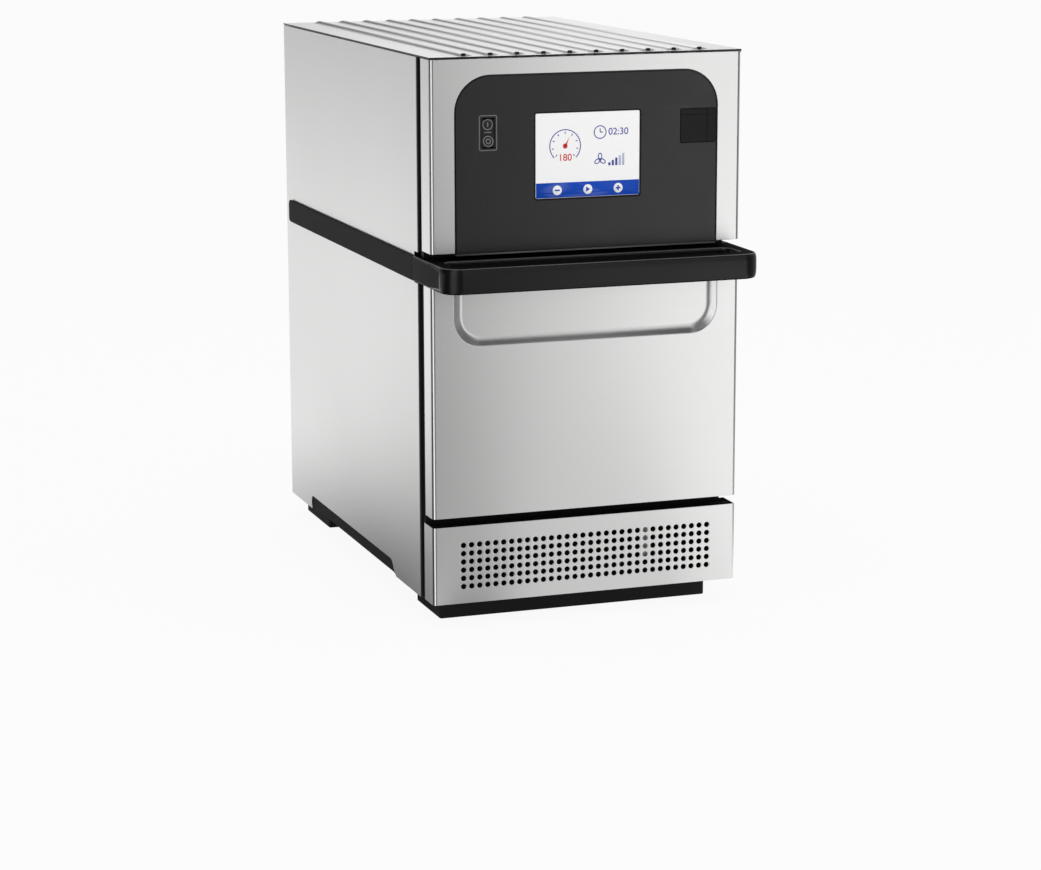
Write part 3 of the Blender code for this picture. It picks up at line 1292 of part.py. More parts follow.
def door_seal():
    """The flat ring gasket between the liner and the bulkhead."""
    gap = SEAT_GAP + SHEET
    inner = rounded(-CAVITY_HALF - gap, CAVITY_HALF + gap, CAVITY_FLOOR - gap, CAVITY_TOP + gap,
                    CAVITY_CORNER)
    reach = CAVITY_HALF + gap + SEAL_WIDTH
    outer = rounded(-reach, reach, CORE_BOTTOM + SEAT_GAP, CAVITY_TOP + gap + SEAL_WIDTH, CAVITY_CORNER)
    bm = prism("XZ", outer, INNER_PLATE_BACK + SEAT_GAP, FRAME_FRONT - SEAT_GAP, holes=[inner])
    add_object("door_seal", bm, (0.05, 0.05, 0.05), 0.8)


def handle_outline():
    """Plan of the handle: the bar, its rounded ends and the arms along both sides."""
    half = HANDLE_HALF_WIDTH
    bar = FRONT - HANDLE_REACH
    arm_end = FRONT + STRIP_START - HANDLE_ARM_END_GAP
    inner = half - HANDLE_ARM_WIDTH
    web_back = MODULE_BACK - SEAT_GAP
    corner = HANDLE_CORNER
    outline = [(half, arm_end), (inner, arm_end), (inner, web_back), (-inner, web_back),
               (-inner, arm_end), (-half, arm_end)]
    outline += arc(corner - half, bar + corner, corner, 180, 270, 6)
    outline += arc(half - corner, bar + corner, corner, 270, 360, 6)
    return outline


def door_handle():
    """One moulding: the bar in front, the cap over the door and the arms that run back."""
    bar = FRONT - HANDLE_REACH + HANDLE_BAR_DEPTH
    half = HANDLE_HALF_WIDTH - HANDLE_END_WIDTH
    slot = rounded(-half, half, bar, FRONT, HANDLE_INNER_CORNER, 4)
    bm = prism("XY", handle_outline(), HANDLE_BOTTOM, HANDLE_TOP, holes=[slot])
    handle = add_object("door_handle", bm, *DARK_PLASTIC)
    soften(handle, HANDLE_EDGE_RADIUS, 2, 60)


def hinge_side(side, inner, thickness):
    low, high = sorted((side * inner, side * (inner + thickness)))
    return low, high


# Hinge stack, from the outside in
BRACKET_INNER = HALF_WIDTH - SHEET - HINGE_SIDE_SETBACK - BRACKET_THICKNESS
ARM_INNER = BRACKET_INNER - SEAT_GAP - HINGE_ARM_THICKNESS


def hinge_bracket(name, side):
    """A lug on the bulkhead that carries one hinge pin."""
    base = FRAME_FRONT - SEAT_GAP
    low_x, high_x = hinge_side(side, BRACKET_INNER, BRACKET_THICKNESS)
    radius = KNUCKLE_RADIUS
    outline = [(base, HINGE_Z - radius), (base, HINGE_Z + radius)]
    outline += arc(HINGE_Y, HINGE_Z, radius, 90, 270, 6)
    bore = circle(HINGE_Y, HINGE_Z, PIN_RADIUS + SEAT_GAP, 12)
    bracket = add_object(name, prism("YZ", outline, low_x, high_x, holes=[bore]), *ZINC)
    foot_width = BRACKET_THICKNESS + 2 * RUNNING_GAP
    foot_low, foot_high = hinge_side(side, BRACKET_INNER - RUNNING_GAP, foot_width)
    foot = block((foot_low, base - 2 * SHEET, HINGE_Z - radius - SHEET),
                 (foot_high, base, HINGE_Z + radius + SHEET))
    join(bracket, foot, "foot")


def hinge_arm(name, side):
    """A knuckle under the door's core that turns on one hinge pin."""
    low_x, high_x = hinge_side(side, ARM_INNER, HINGE_ARM_THICKNESS)
    radius = KNUCKLE_RADIUS
    top = CORE_BOTTOM - SEAT_GAP
    outline = [(HINGE_Y + radius, top), (HINGE_Y - radius, top)]
    outline += arc(HINGE_Y, HINGE_Z, radius, 180, 360, 6)
    bore = circle(HINGE_Y, HINGE_Z, PIN_RADIUS + SEAT_GAP, 12)
    origin = (0, HINGE_Y, HINGE_Z)
    arm = add_object(name, prism("YZ", outline, low_x, high_x, holes=[bore]), *ZINC, origin=origin)
    leaf_width = HINGE_LEAF_WIDTH + HINGE_ARM_THICKNESS
    leaf_low, leaf_high = hinge_side(side, ARM_INNER - HINGE_LEAF_WIDTH, leaf_width)
    leaf = block((leaf_low, HINGE_Y - radius - SHEET, top - HINGE_LEAF_THICKNESS),
                 (leaf_high, HINGE_Y + radius + SHEET, top))
    join(arm, leaf, "leaf")


def hinge_pin(name, side):
    """A headed pin through one bracket and one arm."""
    inner = ARM_INNER - SHEET
    outer = BRACKET_INNER + BRACKET_THICKNESS + SEAT_GAP
    head = outer + 2 * SHEET
    profile = [(0, side * inner), (PIN_RADIUS, side * inner), (PIN_RADIUS, side * outer),
               (PIN_RADIUS * 3 / 2, side * outer), (PIN_RADIUS * 3 / 2, side * head), (0, side * head)]
    add_object(name, turned(profile, 12, (0, HINGE_Y, HINGE_Z), "X"), *ZINC)


def door_latch(name, side):
    """A hooked tongue on the back of the door that enters a slot of the bulkhead."""
    low_x, high_x = hinge_side(side, LATCH_SPACING / 2 - LATCH_WIDTH / 2, LATCH_WIDTH)
    start = CORE_BACK + SEAT_GAP
    end = start + LATCH_LENGTH
    low, high = LATCH_BOTTOM, LATCH_BOTTOM + LATCH_HEIGHT
    nose = LATCH_HEIGHT / 2
    outline = [(start, low), (end - nose, low), (end, low + nose), (end, low + nose + SHEET),
               (end - nose, high + LATCH_HOOK / 2), (end - nose - SHEET, high), (start, high)]
    add_object(name, prism("YZ", outline, low_x, high_x), *ZINC, origin=(0, HINGE_Y, HINGE_Z))


def interlock_switch(name, side):
    """The safety switch beside a latch, behind the bulkhead, with its lever."""
    inner = LATCH_SPACING / 2 + LATCH_WIDTH / 2 + RUNNING_GAP
    low_x, high_x = hinge_side(side, inner, SWITCH_WIDTH)
    start = FRAME_BACK + SEAT_GAP
    bottom = LATCH_BOTTOM - LATCH_HEIGHT / 3
    body = block((low_x, start, bottom), (high_x, start + SWITCH_DEPTH, bottom + SWITCH_HEIGHT))
    piece = add_object(name, body, (0.06, 0.06, 0.07), 0.5)
    tip_low, tip_high = hinge_side(side, inner - RUNNING_GAP / 3, SWITCH_WIDTH / 2)
    lever = block((tip_low, start + SWITCH_DEPTH / 2, bottom + SWITCH_HEIGHT / 3),
                  (tip_high, start + SWITCH_DEPTH / 2 + 2 * SHEET, bottom + SWITCH_HEIGHT / 2))
    join(piece, lever, "lever")


def insert_outline(grow, low):
    half = FASCIA_INSERT_HALF + grow
    corner = FASCIA_INSERT_CORNER + grow
    return rounded(-half, half, low, INSERT_TOP + grow, (0, 0, corner, corner), 8)


def upper_fascia():
    """The steel front over the door, bent back at its sides and cut out for the black insert."""
    plan = channel(MODULE_LIP)
    fascia = add_object("upper_fascia", prism("XY", plan, FASCIA_BOTTOM, PANEL_TOP), *STEEL)
    opening = insert_outline(SEAT_GAP, FASCIA_BOTTOM - OVERRUN)
    cut(fascia, prism("XZ", opening, FRONT - OVERRUN, FRONT + BEND_RADIUS - SHEET), "insert_opening")


def screen_outline(grow):
    half = SCREEN_WIDTH / 2 + grow
    return rounded(-half, half, SCREEN_BOTTOM - grow, SCREEN_BOTTOM + SCREEN_HEIGHT + grow,
                   SCREEN_CORNER + grow, 3)


def bezel_outline(grow):
    half_u, half_v = SWITCH_BEZEL_WIDTH / 2 + grow, SWITCH_BEZEL_HEIGHT / 2 + grow
    return rounded(SWITCH_CENTRE - half_u, SWITCH_CENTRE + half_u, CONTROL_Z - half_v,
                   CONTROL_Z + half_v, SWITCH_BEZEL_CORNER + grow, 3)


def usb_outline(grow, low_share=0, high_share=1):
    """Outline of the socket cover, or of the part of it between two shares of its width."""
    low = USB_CENTRE - USB_COVER_WIDTH / 2
    start = low + USB_COVER_WIDTH * low_share - grow
    end = low + USB_COVER_WIDTH * high_share + grow
    half = USB_COVER_HEIGHT / 2 + grow
    left = USB_COVER_CORNER + grow if low_share == 0 else 0
    right = USB_COVER_CORNER + grow if high_share == 1 else 0
    return rounded(start, end, CONTROL_Z - half, CONTROL_Z + half, (left, right, right, left), 3)


def control_panel():
    """The black insert of the fascia, with a ledge behind its edge and three openings."""
    front = insert_outline(0, FASCIA_BOTTOM - INSERT_LIP)
    back = FRONT + SHEET + SEAT_GAP
    deep = back + INSERT_LEDGE_THICKNESS
    panel = add_object("control_panel", prism("XZ", front, FRONT, deep), *DARK_PLASTIC)
    ledge = insert_outline(INSERT_LEDGE, FASCIA_BOTTOM + SEAT_GAP)
    join(panel, prism("XZ", ledge, back, deep - SEAT_GAP / 3), "ledge")
    openings = prism("XZ", screen_outline(SEAT_GAP), FRONT - OVERRUN, deep + OVERRUN)
    prism("XZ", bezel_outline(SEAT_GAP), FRONT - OVERRUN, deep + OVERRUN, bm=openings)
    prism("XZ", usb_outline(SEAT_GAP), FRONT - OVERRUN, deep + OVERRUN, bm=openings)
    cut(panel, openings, "openings")


def touchscreen():
    """The display module behind its glass."""
    back = FRONT + SCREEN_THICKNESS
    screen = add_object("touchscreen", prism("XZ", screen_outline(0), FRONT, back), (0.75, 0.78, 0.82), 0.15)
    soften(screen, SEAT_GAP, 1, 60)


def control_board():
    """The board fixed behind the display, with its connector and buzzer."""
    half = SCREEN_WIDTH / 2 + BOARD_MARGIN
    low = SCREEN_BOTTOM - BOARD_MARGIN
    high = SCREEN_BOTTOM + SCREEN_HEIGHT + BOARD_MARGIN
    start = FRONT + SCREEN_THICKNESS + SEAT_GAP
    end = start + BOARD_THICKNESS
    bm = block((-half, start, low), (half, end, high))
    board = add_object("control_board", bm, (0.05, 0.20, 0.09), 0.5)
    unit = BOARD_MARGIN
    root, tip = end - BOARD_THICKNESS / 2, end + unit / 2
    parts = block((-2 * unit, root, low + unit / 2), (2 * unit, tip, low + unit))
    prism("XZ", circle(3 * unit, high - 2 * unit, unit / 2, 12), root, tip, bm=parts)
    join(board, parts, "parts")


def switch_housing():
    """The bezel and body that the rocker sits in."""
    deep = FRONT + SWITCH_BODY_DEPTH
    housing = add_object("switch_housing", prism("XZ", bezel_outline(0), FRONT, deep), *DARK_PLASTIC)
    well = bezel_outline(SEAT_GAP - ROCKER_MARGIN)
    cut(housing, prism("XZ", well, FRONT - OVERRUN, FRONT + ROCKER_DEPTH + RUNNING_GAP), "well")
    rim = FRONT + SHEET * 2
    ears = bezel_outline(ROCKER_MARGIN)
    shoulder = FRONT + SHEET + 2 * SEAT_GAP + INSERT_LEDGE_THICKNESS
    inner = bezel_outline(-ROCKER_MARGIN / 2)
    join(housing, prism("XZ", ears, max(shoulder, rim), shoulder + 2 * SHEET, holes=[inner]), "ears")


def power_switch():
    """The rocker, drawn with one end pressed in; it turns about its middle."""
    margin = ROCKER_MARGIN
    half_u = SWITCH_BEZEL_WIDTH / 2 - margin
    half_v = SWITCH_BEZEL_HEIGHT / 2 - margin
    origin = (SWITCH_CENTRE, FRONT + ROCKER_DEPTH / 2, CONTROL_Z)
    proud = math.tan(math.radians(ROCKER_TRAVEL))
    middle = FRONT + ROCKER_DEPTH / 8
    back = FRONT + ROCKER_DEPTH
    shoulder = back - ROCKER_DEPTH / 3
    high = half_v - SEAT_GAP * 4
    low = half_v - SEAT_GAP * 6
    outline = [(middle, CONTROL_Z), (middle, CONTROL_Z + high), (shoulder, CONTROL_Z + low),
               (back, CONTROL_Z + half_v / 2), (back, CONTROL_Z - half_v / 2),
               (shoulder, CONTROL_Z - low), (middle - high * proud, CONTROL_Z - high)]
    low_x, high_x = SWITCH_CENTRE - half_u, SWITCH_CENTRE + half_u
    rocker = add_object("power_switch", prism("YZ", outline, low_x, high_x), (0.03, 0.03, 0.03), 0.35,
                        0.0, origin)
    soften(rocker, SEAT_GAP, 1, 60)


def usb_cover():
    """The soft flap over the socket, hinged at the fixed strip beside it."""
    share = 1 - USB_HINGE_INSET / USB_COVER_WIDTH
    cover = usb_outline(0, 0, share)
    hinge_x = USB_CENTRE + USB_COVER_WIDTH / 2 - USB_HINGE_INSET
    origin = (hinge_x, FRONT, CONTROL_Z)
    flap = add_object("usb_cover", prism("XZ", cover, FRONT, FRONT + USB_COVER_THICKNESS), *DARK_PLASTIC,
                      origin=origin)
    soften(flap, SEAT_GAP, 1, 60)


def usb_cover_strip():
    """The fixed strip that holds the flap."""
    share = 1 - (USB_HINGE_INSET - SEAT_GAP) / USB_COVER_WIDTH
    strip = usb_outline(0, share, 1)
    add_object("usb_cover_strip", prism("XZ", strip, FRONT, FRONT + USB_COVER_THICKNESS), *DARK_PLASTIC)


def usb_socket():
    """The socket's well behind the flap, with its metal mouth cut through."""
    start = FRONT + USB_COVER_THICKNESS + SEAT_GAP
    end = start + USB_WELL_DEPTH
    well = add_object("usb_socket", prism("XZ", usb_outline(0), start, end), (0.10, 0.10, 0.11), 0.5)
    middle = USB_CENTRE - USB_HINGE_INSET / 2
    half_u, half_v = USB_PORT_WIDTH / 2, USB_PORT_HEIGHT / 2
    room = rounded(middle - half_u, middle + half_u, CONTROL_Z - half_v, CONTROL_Z + half_v, USB_SHELL)
    cut(well, prism("XZ", room, start - OVERRUN, end - 2 * USB_WELL_WALL), "mouth")


def grille_panel():
    """The pull-off lower front, pierced by rows of round holes."""
    plan = channel(MODULE_LIP)
    panel = add_object("grille_panel", prism("XY", plan, GRILLE_BOTTOM, GRILLE_TOP), *STEEL)
    holes = bmesh.new()
    for row in range(GRILLE_ROWS):
        z = GRILLE_MIDDLE + (row - (GRILLE_ROWS - 1) / 2) * GRILLE_PITCH
        for column in range(GRILLE_COLUMNS):
            x = (column - (GRILLE_COLUMNS - 1) / 2) * GRILLE_PITCH
            hole = circle(x, z, GRILLE_HOLE / 2, GRILLE_HOLE_SIDES)
            prism("XZ", hole, FRONT - OVERRUN, FRONT + BEND_RADIUS, bm=holes)
    cut(panel, holes, "holes")


def air_filter():
    """The framed filter pad behind the grille's holes, with stiffening bars."""
    half = HALF_WIDTH - SHEET - SEAT_GAP
    low = GRILLE_BOTTOM + SEAT_GAP
    high = GRILLE_TOP - SEAT_GAP
    start = FRONT + FILTER_SETBACK
    end = start + FILTER_THICKNESS
    outline = [(-half, low), (half, low), (half, high), (-half, high)]
    pad = add_object("air_filter", prism("XZ", outline, start, end), (0.10, 0.10, 0.10), 0.9)
    border = FILTER_SETBACK
    pitch = (2 * half - border) / FILTER_WINDOWS
    recesses = bmesh.new()
    for index in range(FILTER_WINDOWS):
        left = border - half + pitch * index
        block((left, start - OVERRUN, low + border),
              (left + pitch - border, start + FILTER_THICKNESS / 3, high - border), bm=recesses)
    cut(pad, recesses, "recesses")


def grille_catch():
    """The bent steel plate on the filter's frame that the magnet of the bulkhead holds."""
    half = CATCH_WIDTH / 2
    back = FRONT + FILTER_SETBACK - SEAT_GAP
    start = back - 2 * SHEET
    high = GRILLE_TOP - FILTER_SETBACK
    bm = block((CATCH_OFFSET - half, start, high - CATCH_HEIGHT), (CATCH_OFFSET + half, back, high))
    add_object("grille_catch", bm, (0.62, 0.62, 0.60), 0.5, 0.6)


def main():
    clear_scene()
    base_pan()
    foot_rail("front_foot_rail", FRONT + FRONT_FOOT_SETBACK, FRONT_FOOT_DEPTH)
    foot_rail("rear_foot_rail", BACK - REAR_FOOT_DEPTH, REAR_FOOT_DEPTH)
    top_panel()
    rear_panel()
    cable_gland()
    front_frame()
    oven_cavity()
    blower_housing()
    heater_element()
    convection_fan()
    fan_motor()
    fan_guard()
    air_duct()
    impinger_plate()
    oven_rack()
    cook_plate()
    catalytic_converter()
    exhaust_duct()
    waveguide()
    magnetron()
    hv_transformer()
    hv_capacitor()
    cooling_fan_housing()
    cooling_fan_rotor()
    electronics_tray()
    power_board()
    door_outer_skin()
    door_core()
    door_inner_plate()
    door_seal()
    door_handle()
    upper_fascia()
    control_panel()
    touchscreen()
    control_board()
    switch_housing()
    power_switch()
    usb_cover()
    usb_cover_strip()
    usb_socket()
    grille_panel()
    air_filter()
    grille_catch()
    for word, side in (("left", -1), ("right", 1)):
        side_panel(word + "_side_panel", side)
        trim_strip(word + "_trim_strip", side)
        insulation(word + "_insulation", side)
        hinge_bracket(word + "_hinge_bracket", side)
        hinge_arm(word + "_hinge_arm", side)
        hinge_pin(word + "_hinge_pin", side)
        door_latch(word + "_door_latch", side)
        interlock_switch(word + "_interlock_switch", side)


main()
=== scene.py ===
"""Looks of the countertop speed oven: camera, studio, finishes and the finely shaped pieces."""

import math

import bmesh
import bpy
from mathutils import Matrix, Vector


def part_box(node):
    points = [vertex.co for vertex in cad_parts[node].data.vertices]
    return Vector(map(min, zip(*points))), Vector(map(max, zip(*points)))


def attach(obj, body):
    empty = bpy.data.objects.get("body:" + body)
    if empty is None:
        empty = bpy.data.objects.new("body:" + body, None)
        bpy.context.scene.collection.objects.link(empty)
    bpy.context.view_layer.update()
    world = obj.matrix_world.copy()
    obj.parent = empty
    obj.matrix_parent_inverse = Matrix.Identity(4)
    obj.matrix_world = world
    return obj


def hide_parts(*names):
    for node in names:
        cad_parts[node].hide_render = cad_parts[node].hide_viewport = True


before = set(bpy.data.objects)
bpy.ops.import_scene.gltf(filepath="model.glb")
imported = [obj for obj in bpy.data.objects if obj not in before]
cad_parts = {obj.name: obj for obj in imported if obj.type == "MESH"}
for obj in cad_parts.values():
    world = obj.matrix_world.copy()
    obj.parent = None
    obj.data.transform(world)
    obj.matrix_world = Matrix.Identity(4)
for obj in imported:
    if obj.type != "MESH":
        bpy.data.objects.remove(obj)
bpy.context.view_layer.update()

# The camera that was fitted to the photograph's edges, in metres, degrees and millimetres
CAMERA_PLACE = Vector((-1.0923, -3.1549, 0.8526))
CAMERA_AZIMUTH = -19.3726
CAMERA_ELEVATION = 11.8630
CAMERA_ROLL = -0.1130
CAMERA_LENS = 99.49
CAMERA_SENSOR = 36.0


def new_object(name, data):
    made = bpy.data.objects.new(name, data)
    bpy.context.scene.collection.objects.link(made)
    return made


def make_camera():
    turn, tilt, roll = (math.radians(angle) for angle in (CAMERA_AZIMUTH, CAMERA_ELEVATION, CAMERA_ROLL))
    back = Vector((math.sin(turn) * math.cos(tilt), -math.cos(turn) * math.cos(tilt), math.sin(tilt)))
    level = Vector((0, 0, 1)).cross(back).normalized()
    upright = back.cross(level)
    right = math.cos(roll) * level + math.sin(roll) * upright
    up = math.cos(roll) * upright - math.sin(roll) * level
    data = bpy.data.cameras.new("camera")
    data.lens = CAMERA_LENS
    data.sensor_width = CAMERA_SENSOR
    data.sensor_fit = "HORIZONTAL"
    camera = new_object("camera", data)
    camera.matrix_world = Matrix.Translation(CAMERA_PLACE) @ Matrix((right, up, back)).transposed().to_4x4()
    bpy.context.scene.camera = camera


# Node helpers
def fill(tree, node, inputs):
    """Fill a node's sockets: a link for a socket, else a value."""
    for name, value in inputs.items():
        if isinstance(value, bpy.types.NodeSocket):
            tree.links.new(value, node.inputs[name])
        else:
            node.inputs[name].default_value = value
    return node


def add_node(tree, kind, inputs=None, **settings):
    """A new shader node with its settings, and its sockets filled."""
    node = tree.nodes.new(kind)
    for name, value in settings.items():
        setattr(node, name, value)
    return fill(tree, node, inputs or {})


def math_node(tree, operation, *values):
    return add_node(tree, "ShaderNodeMath", dict(enumerate(values)), operation=operation).outputs[0]


def even(value):
    """Three equal values: a grey, or the same scale along each axis."""
    return (value, value, value)


def noise(tree, scales, detail, roughness=0.55):
    """Noise over the object's coordinates in metres, multiplied by a scale along each axis."""
    place = add_node(tree, "ShaderNodeTexCoord").outputs["Object"]
    vector = add_node(tree, "ShaderNodeMapping", {"Vector": place, "Scale": scales}).outputs["Vector"]
    return add_node(tree, "ShaderNodeTexNoise", {"Vector": vector, "Scale": 1.0, "Detail": detail,
                                                 "Roughness": roughness}).outputs["Fac"]


def to_range(tree, value, low, high, start=0.25, end=0.75, kind="LINEAR"):
    """From low to high, as the value goes from start to end."""
    return add_node(tree, "ShaderNodeMapRange", {"Value": value, "From Min": start, "From Max": end,
                                                 "To Min": low, "To Max": high},
                    interpolation_type=kind).outputs["Result"]


def tinted(tree, colour, factor):
    """The colour multiplied by a grey factor."""
    return add_node(tree, "ShaderNodeVectorMath", {0: colour, 1: factor}, operation="MULTIPLY").outputs[0]


def bump(tree, height, strength, distance):
    return add_node(tree, "ShaderNodeBump", {"Height": height, "Strength": strength,
                                             "Distance": distance}).outputs["Normal"]


def blended(tree, factor, first, second):
    return add_node(tree, "ShaderNodeMix", {"Factor": factor, "A": first, "B": second}).outputs[0]


# Recipes of the finishes: each gives what the shader's sockets hold
SCRATCH_ALONG = 7.0
SCRATCH_ACROSS = 1500.0


def steel(tree, colour, roughness, brush, around="Z", contrast=0.02):
    """Brushed steel; brush is the axis that the fine scratches run along, around the tangent's axis."""
    fine = noise(tree, [SCRATCH_ALONG if axis == brush else SCRATCH_ACROSS for axis in "XYZ"], 3.0, 0.7)
    grain = to_range(tree, fine, 1.0 - contrast, 1.0 + contrast)
    cloud = to_range(tree, noise(tree, even(3.0), 1.0), 0.97, 1.03)
    tangent = add_node(tree, "ShaderNodeTangent", direction_type="RADIAL", axis=around)
    return {"Metallic": 1.0, "Anisotropic": 0.75, "Anisotropic Rotation": 0.25,
            "Tangent": tangent.outputs["Tangent"],
            "Base Color": tinted(tree, colour, math_node(tree, "MULTIPLY", grain, cloud)),
            "Roughness": to_range(tree, fine, roughness - 0.03, roughness + 0.03),
            "Normal": bump(tree, fine, 0.04, 0.0001)}


def plain_metal(tree, colour, roughness, mottle=40.0, depth=0.06):
    """Unbrushed metal with faint clouds, such as zinc or enamel."""
    cloud = noise(tree, even(mottle), 3.0)
    return {"Metallic": 1.0,
            "Base Color": tinted(tree, colour, to_range(tree, cloud, 1.0 - depth, 1.0 + depth)),
            "Roughness": to_range(tree, cloud, roughness - 0.06, roughness + 0.06)}


def moulded(tree, colour, roughness, grain=1400.0, depth=0.00004, specular=0.35):
    """Moulded plastic or rubber with a fine pebbled skin."""
    cloud = noise(tree, even(12.0), 2.0)
    return {"Specular IOR Level": specular,
            "Base Color": tinted(tree, colour, to_range(tree, cloud, 0.92, 1.08)),
            "Roughness": to_range(tree, cloud, roughness - 0.03, roughness + 0.03),
            "Normal": bump(tree, noise(tree, even(grain), 2.0), 0.25, depth)}


def fibrous(tree, colour, roughness):
    fibres = noise(tree, (260.0, 90.0, 260.0), 6.0, 0.7)
    return {"Specular IOR Level": 0.1, "Roughness": roughness,
            "Base Color": tinted(tree, colour, to_range(tree, fibres, 0.7, 1.2)),
            "Normal": bump(tree, fibres, 0.8, 0.0006)}


def display(tree, colour, roughness, glow=0.35):
    """A lit area of the display: its own colour with a little light of its own."""
    tone = tinted(tree, colour, to_range(tree, noise(tree, even(2500.0), 0.0), 0.985, 1.015))
    return {"Specular IOR Level": 0.4, "Roughness": roughness, "Base Color": tone,
            "Emission Color": tone, "Emission Strength": glow}


def new_material(name, roughness):
    material = bpy.data.materials.new(name)
    material.use_nodes = True
    tree = material.node_tree
    return material, tree, fill(tree, tree.nodes["Principled BSDF"], {"Roughness": roughness})


STEEL_TONE = (0.70, 0.70, 0.695)
MATT_TONE = (0.004, 0.0042, 0.0041)
FINISHES = {}


def finish(name, recipe, colour, roughness, nodes="", **settings):
    """Make a finish and give it to the CAD nodes that it covers."""
    material, tree, shader = new_material(name, roughness)
    fill(tree, shader, recipe(tree, colour, roughness, **settings))
    FINISHES[name] = material
    for node_name in nodes.split():
        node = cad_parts[node_name]
        node.data.materials.clear()
        node.data.materials.append(material)
        node.data.shade_smooth()
        clean_edges(node)


def make_finishes():
    finish("steel_level", steel, STEEL_TONE, 0.30, "upper_fascia door_outer_skin grille_panel", brush="X")
    finish("steel_side", steel, STEEL_TONE, 0.34, "left_side_panel right_side_panel", brush="Y",
           contrast=0.015)
    finish("steel_lid", steel, (0.72, 0.72, 0.715), 0.30, "top_panel", brush="Y", around="X")
    finish("steel_inner", steel, (0.60, 0.60, 0.59), 0.36, "door_inner_plate impinger_plate fan_guard",
           brush="X")
    finish("enamel", plain_metal, (0.42, 0.42, 0.41), 0.34, "oven_cavity", mottle=25.0)
    finish("zinc", plain_metal, (0.55, 0.56, 0.57), 0.42,
           "rear_panel blower_housing convection_fan air_duct exhaust_duct magnetron hv_capacitor "
           "electronics_tray left_hinge_bracket right_hinge_bracket left_hinge_arm right_hinge_arm "
           "left_hinge_pin right_hinge_pin left_door_latch right_door_latch", mottle=90.0, depth=0.12)
    finish("wire", plain_metal, (0.62, 0.61, 0.60), 0.22, "oven_rack", mottle=60.0)
    finish("catch", plain_metal, (0.62, 0.62, 0.60), 0.5, "grille_catch", mottle=60.0)
    finish("door_core", plain_metal, even(0.30), 0.55, "door_core")
    finish("heater", plain_metal, (0.16, 0.15, 0.15), 0.5, "heater_element")
    finish("motor", plain_metal, (0.30, 0.30, 0.31), 0.5, "fan_motor")
    finish("converter", plain_metal, (0.45, 0.42, 0.36), 0.6, "catalytic_converter")
    finish("waveguide", plain_metal, (0.62, 0.55, 0.38), 0.4, "waveguide")
    finish("transformer", plain_metal, (0.22, 0.21, 0.20), 0.6, "hv_transformer")
    # The front frame is black steel. The base pan, zinc in the part file, is black here as painted shade for
    # the dark seen through the hand cut-outs. The same finish paints shade on the module lips, the side bends
    # and the lid's edges.
    finish("black_steel", moulded, even(0.010), 0.5, "front_frame base_pan")
    finish("black_moulding", moulded, (0.005, 0.0054, 0.0052), 0.27,
           "door_handle cable_gland cooling_fan_housing cooling_fan_rotor", specular=0.28)
    # The dull black of the strips and feet; on the handle's arms it is painted shade.
    finish("black_strip_and_painted_shade", moulded, (0.0300, 0.0310, 0.0305), 0.72,
           "left_trim_strip right_trim_strip front_foot_rail rear_foot_rail", specular=0.07)
    finish("black_panel", moulded, (0.0035, 0.0040, 0.0037), 0.28,
           "control_panel switch_housing usb_cover_strip", grain=2200.0, depth=0.00002, specular=0.5)
    finish("black_gloss", moulded, even(0.008), 0.25, "power_switch")
    finish("black_cover", moulded, MATT_TONE, 0.45, "usb_cover", specular=0.30)
    # Painted shade for the handle's flat tops and undersides.
    finish("black_painted_shade", moulded, MATT_TONE, 0.85, specular=0.05)
    # A lighter black: a painted highlight on the handle's upper edges and the bead under the insert.
    finish("black_painted_highlight", moulded, (0.09, 0.094, 0.092), 0.30, specular=0.5)
    finish("filter", moulded, even(0.006), 0.85, "air_filter", grain=700.0, depth=0.0003, specular=0.1)
    finish("rubber", moulded, even(0.02), 0.7, "door_seal", specular=0.2)
    finish("plate", moulded, even(0.05), 0.5, "cook_plate", grain=900.0)
    finish("board", moulded, (0.03, 0.14, 0.06), 0.4, "power_board control_board", grain=500.0)
    finish("socket", moulded, (0.05, 0.05, 0.055), 0.5,
           "usb_socket left_interlock_switch right_interlock_switch")
    finish("mark", moulded, even(0.24), 0.5)
    finish("wool", fibrous, (0.80, 0.78, 0.70), 0.9, "left_insulation right_insulation")
    finish("glass", display, even(0.93), 0.12, "touchscreen", glow=0.27)
    finish("blue", display, (0.008, 0.060, 0.42), 0.12)
    finish("ink", display, (0.06, 0.07, 0.32), 0.12)
    finish("pale_ink", display, (0.45, 0.46, 0.62), 0.12)
    finish("red", display, (0.55, 0.03, 0.03), 0.12)


# Sizes shared by the pieces, in metres, and angles in degrees
SHEET = 0.0012
BEND_RADIUS = 0.0043
SEAT_GAP = 0.0003
EDGE = 0.0003
WELD = 0.00001
MERGE = 0.000002
FACET_ANGLE = 1
NODE_EDGE_ANGLE = 35
EDGE_ANGLE = 50
BEND_STEPS = 8
ARC_STEPS = 12


def weigh_normals(piece, keep_sharp=True):
    piece.modifiers.new("normals", "WEIGHTED_NORMAL").keep_sharp = keep_sharp


def round_edges(piece, width=EDGE, segments=2, angle=EDGE_ANGLE):
    edges = piece.modifiers.new("edges", "BEVEL")
    edges.width = width
    edges.segments = segments
    edges.limit_method = "ANGLE"
    edges.angle_limit = math.radians(angle)
    edges.miter_outer = "MITER_ARC"
    weigh_normals(piece)


def clean_edges(piece):
    """Join split corners, merge flat facets and round the edges a little."""
    piece.modifiers.new("weld", "WELD").merge_threshold = WELD
    flat = piece.modifiers.new("flat", "DECIMATE")
    flat.decimate_type = "DISSOLVE"
    flat.angle_limit = math.radians(FACET_ANGLE)
    round_edges(piece, angle=NODE_EDGE_ANGLE)


def polar(u, v, radius, degrees):
    """The point at a radius and an angle from another point."""
    angle = math.radians(degrees)
    return (u + radius * math.cos(angle), v + radius * math.sin(angle))


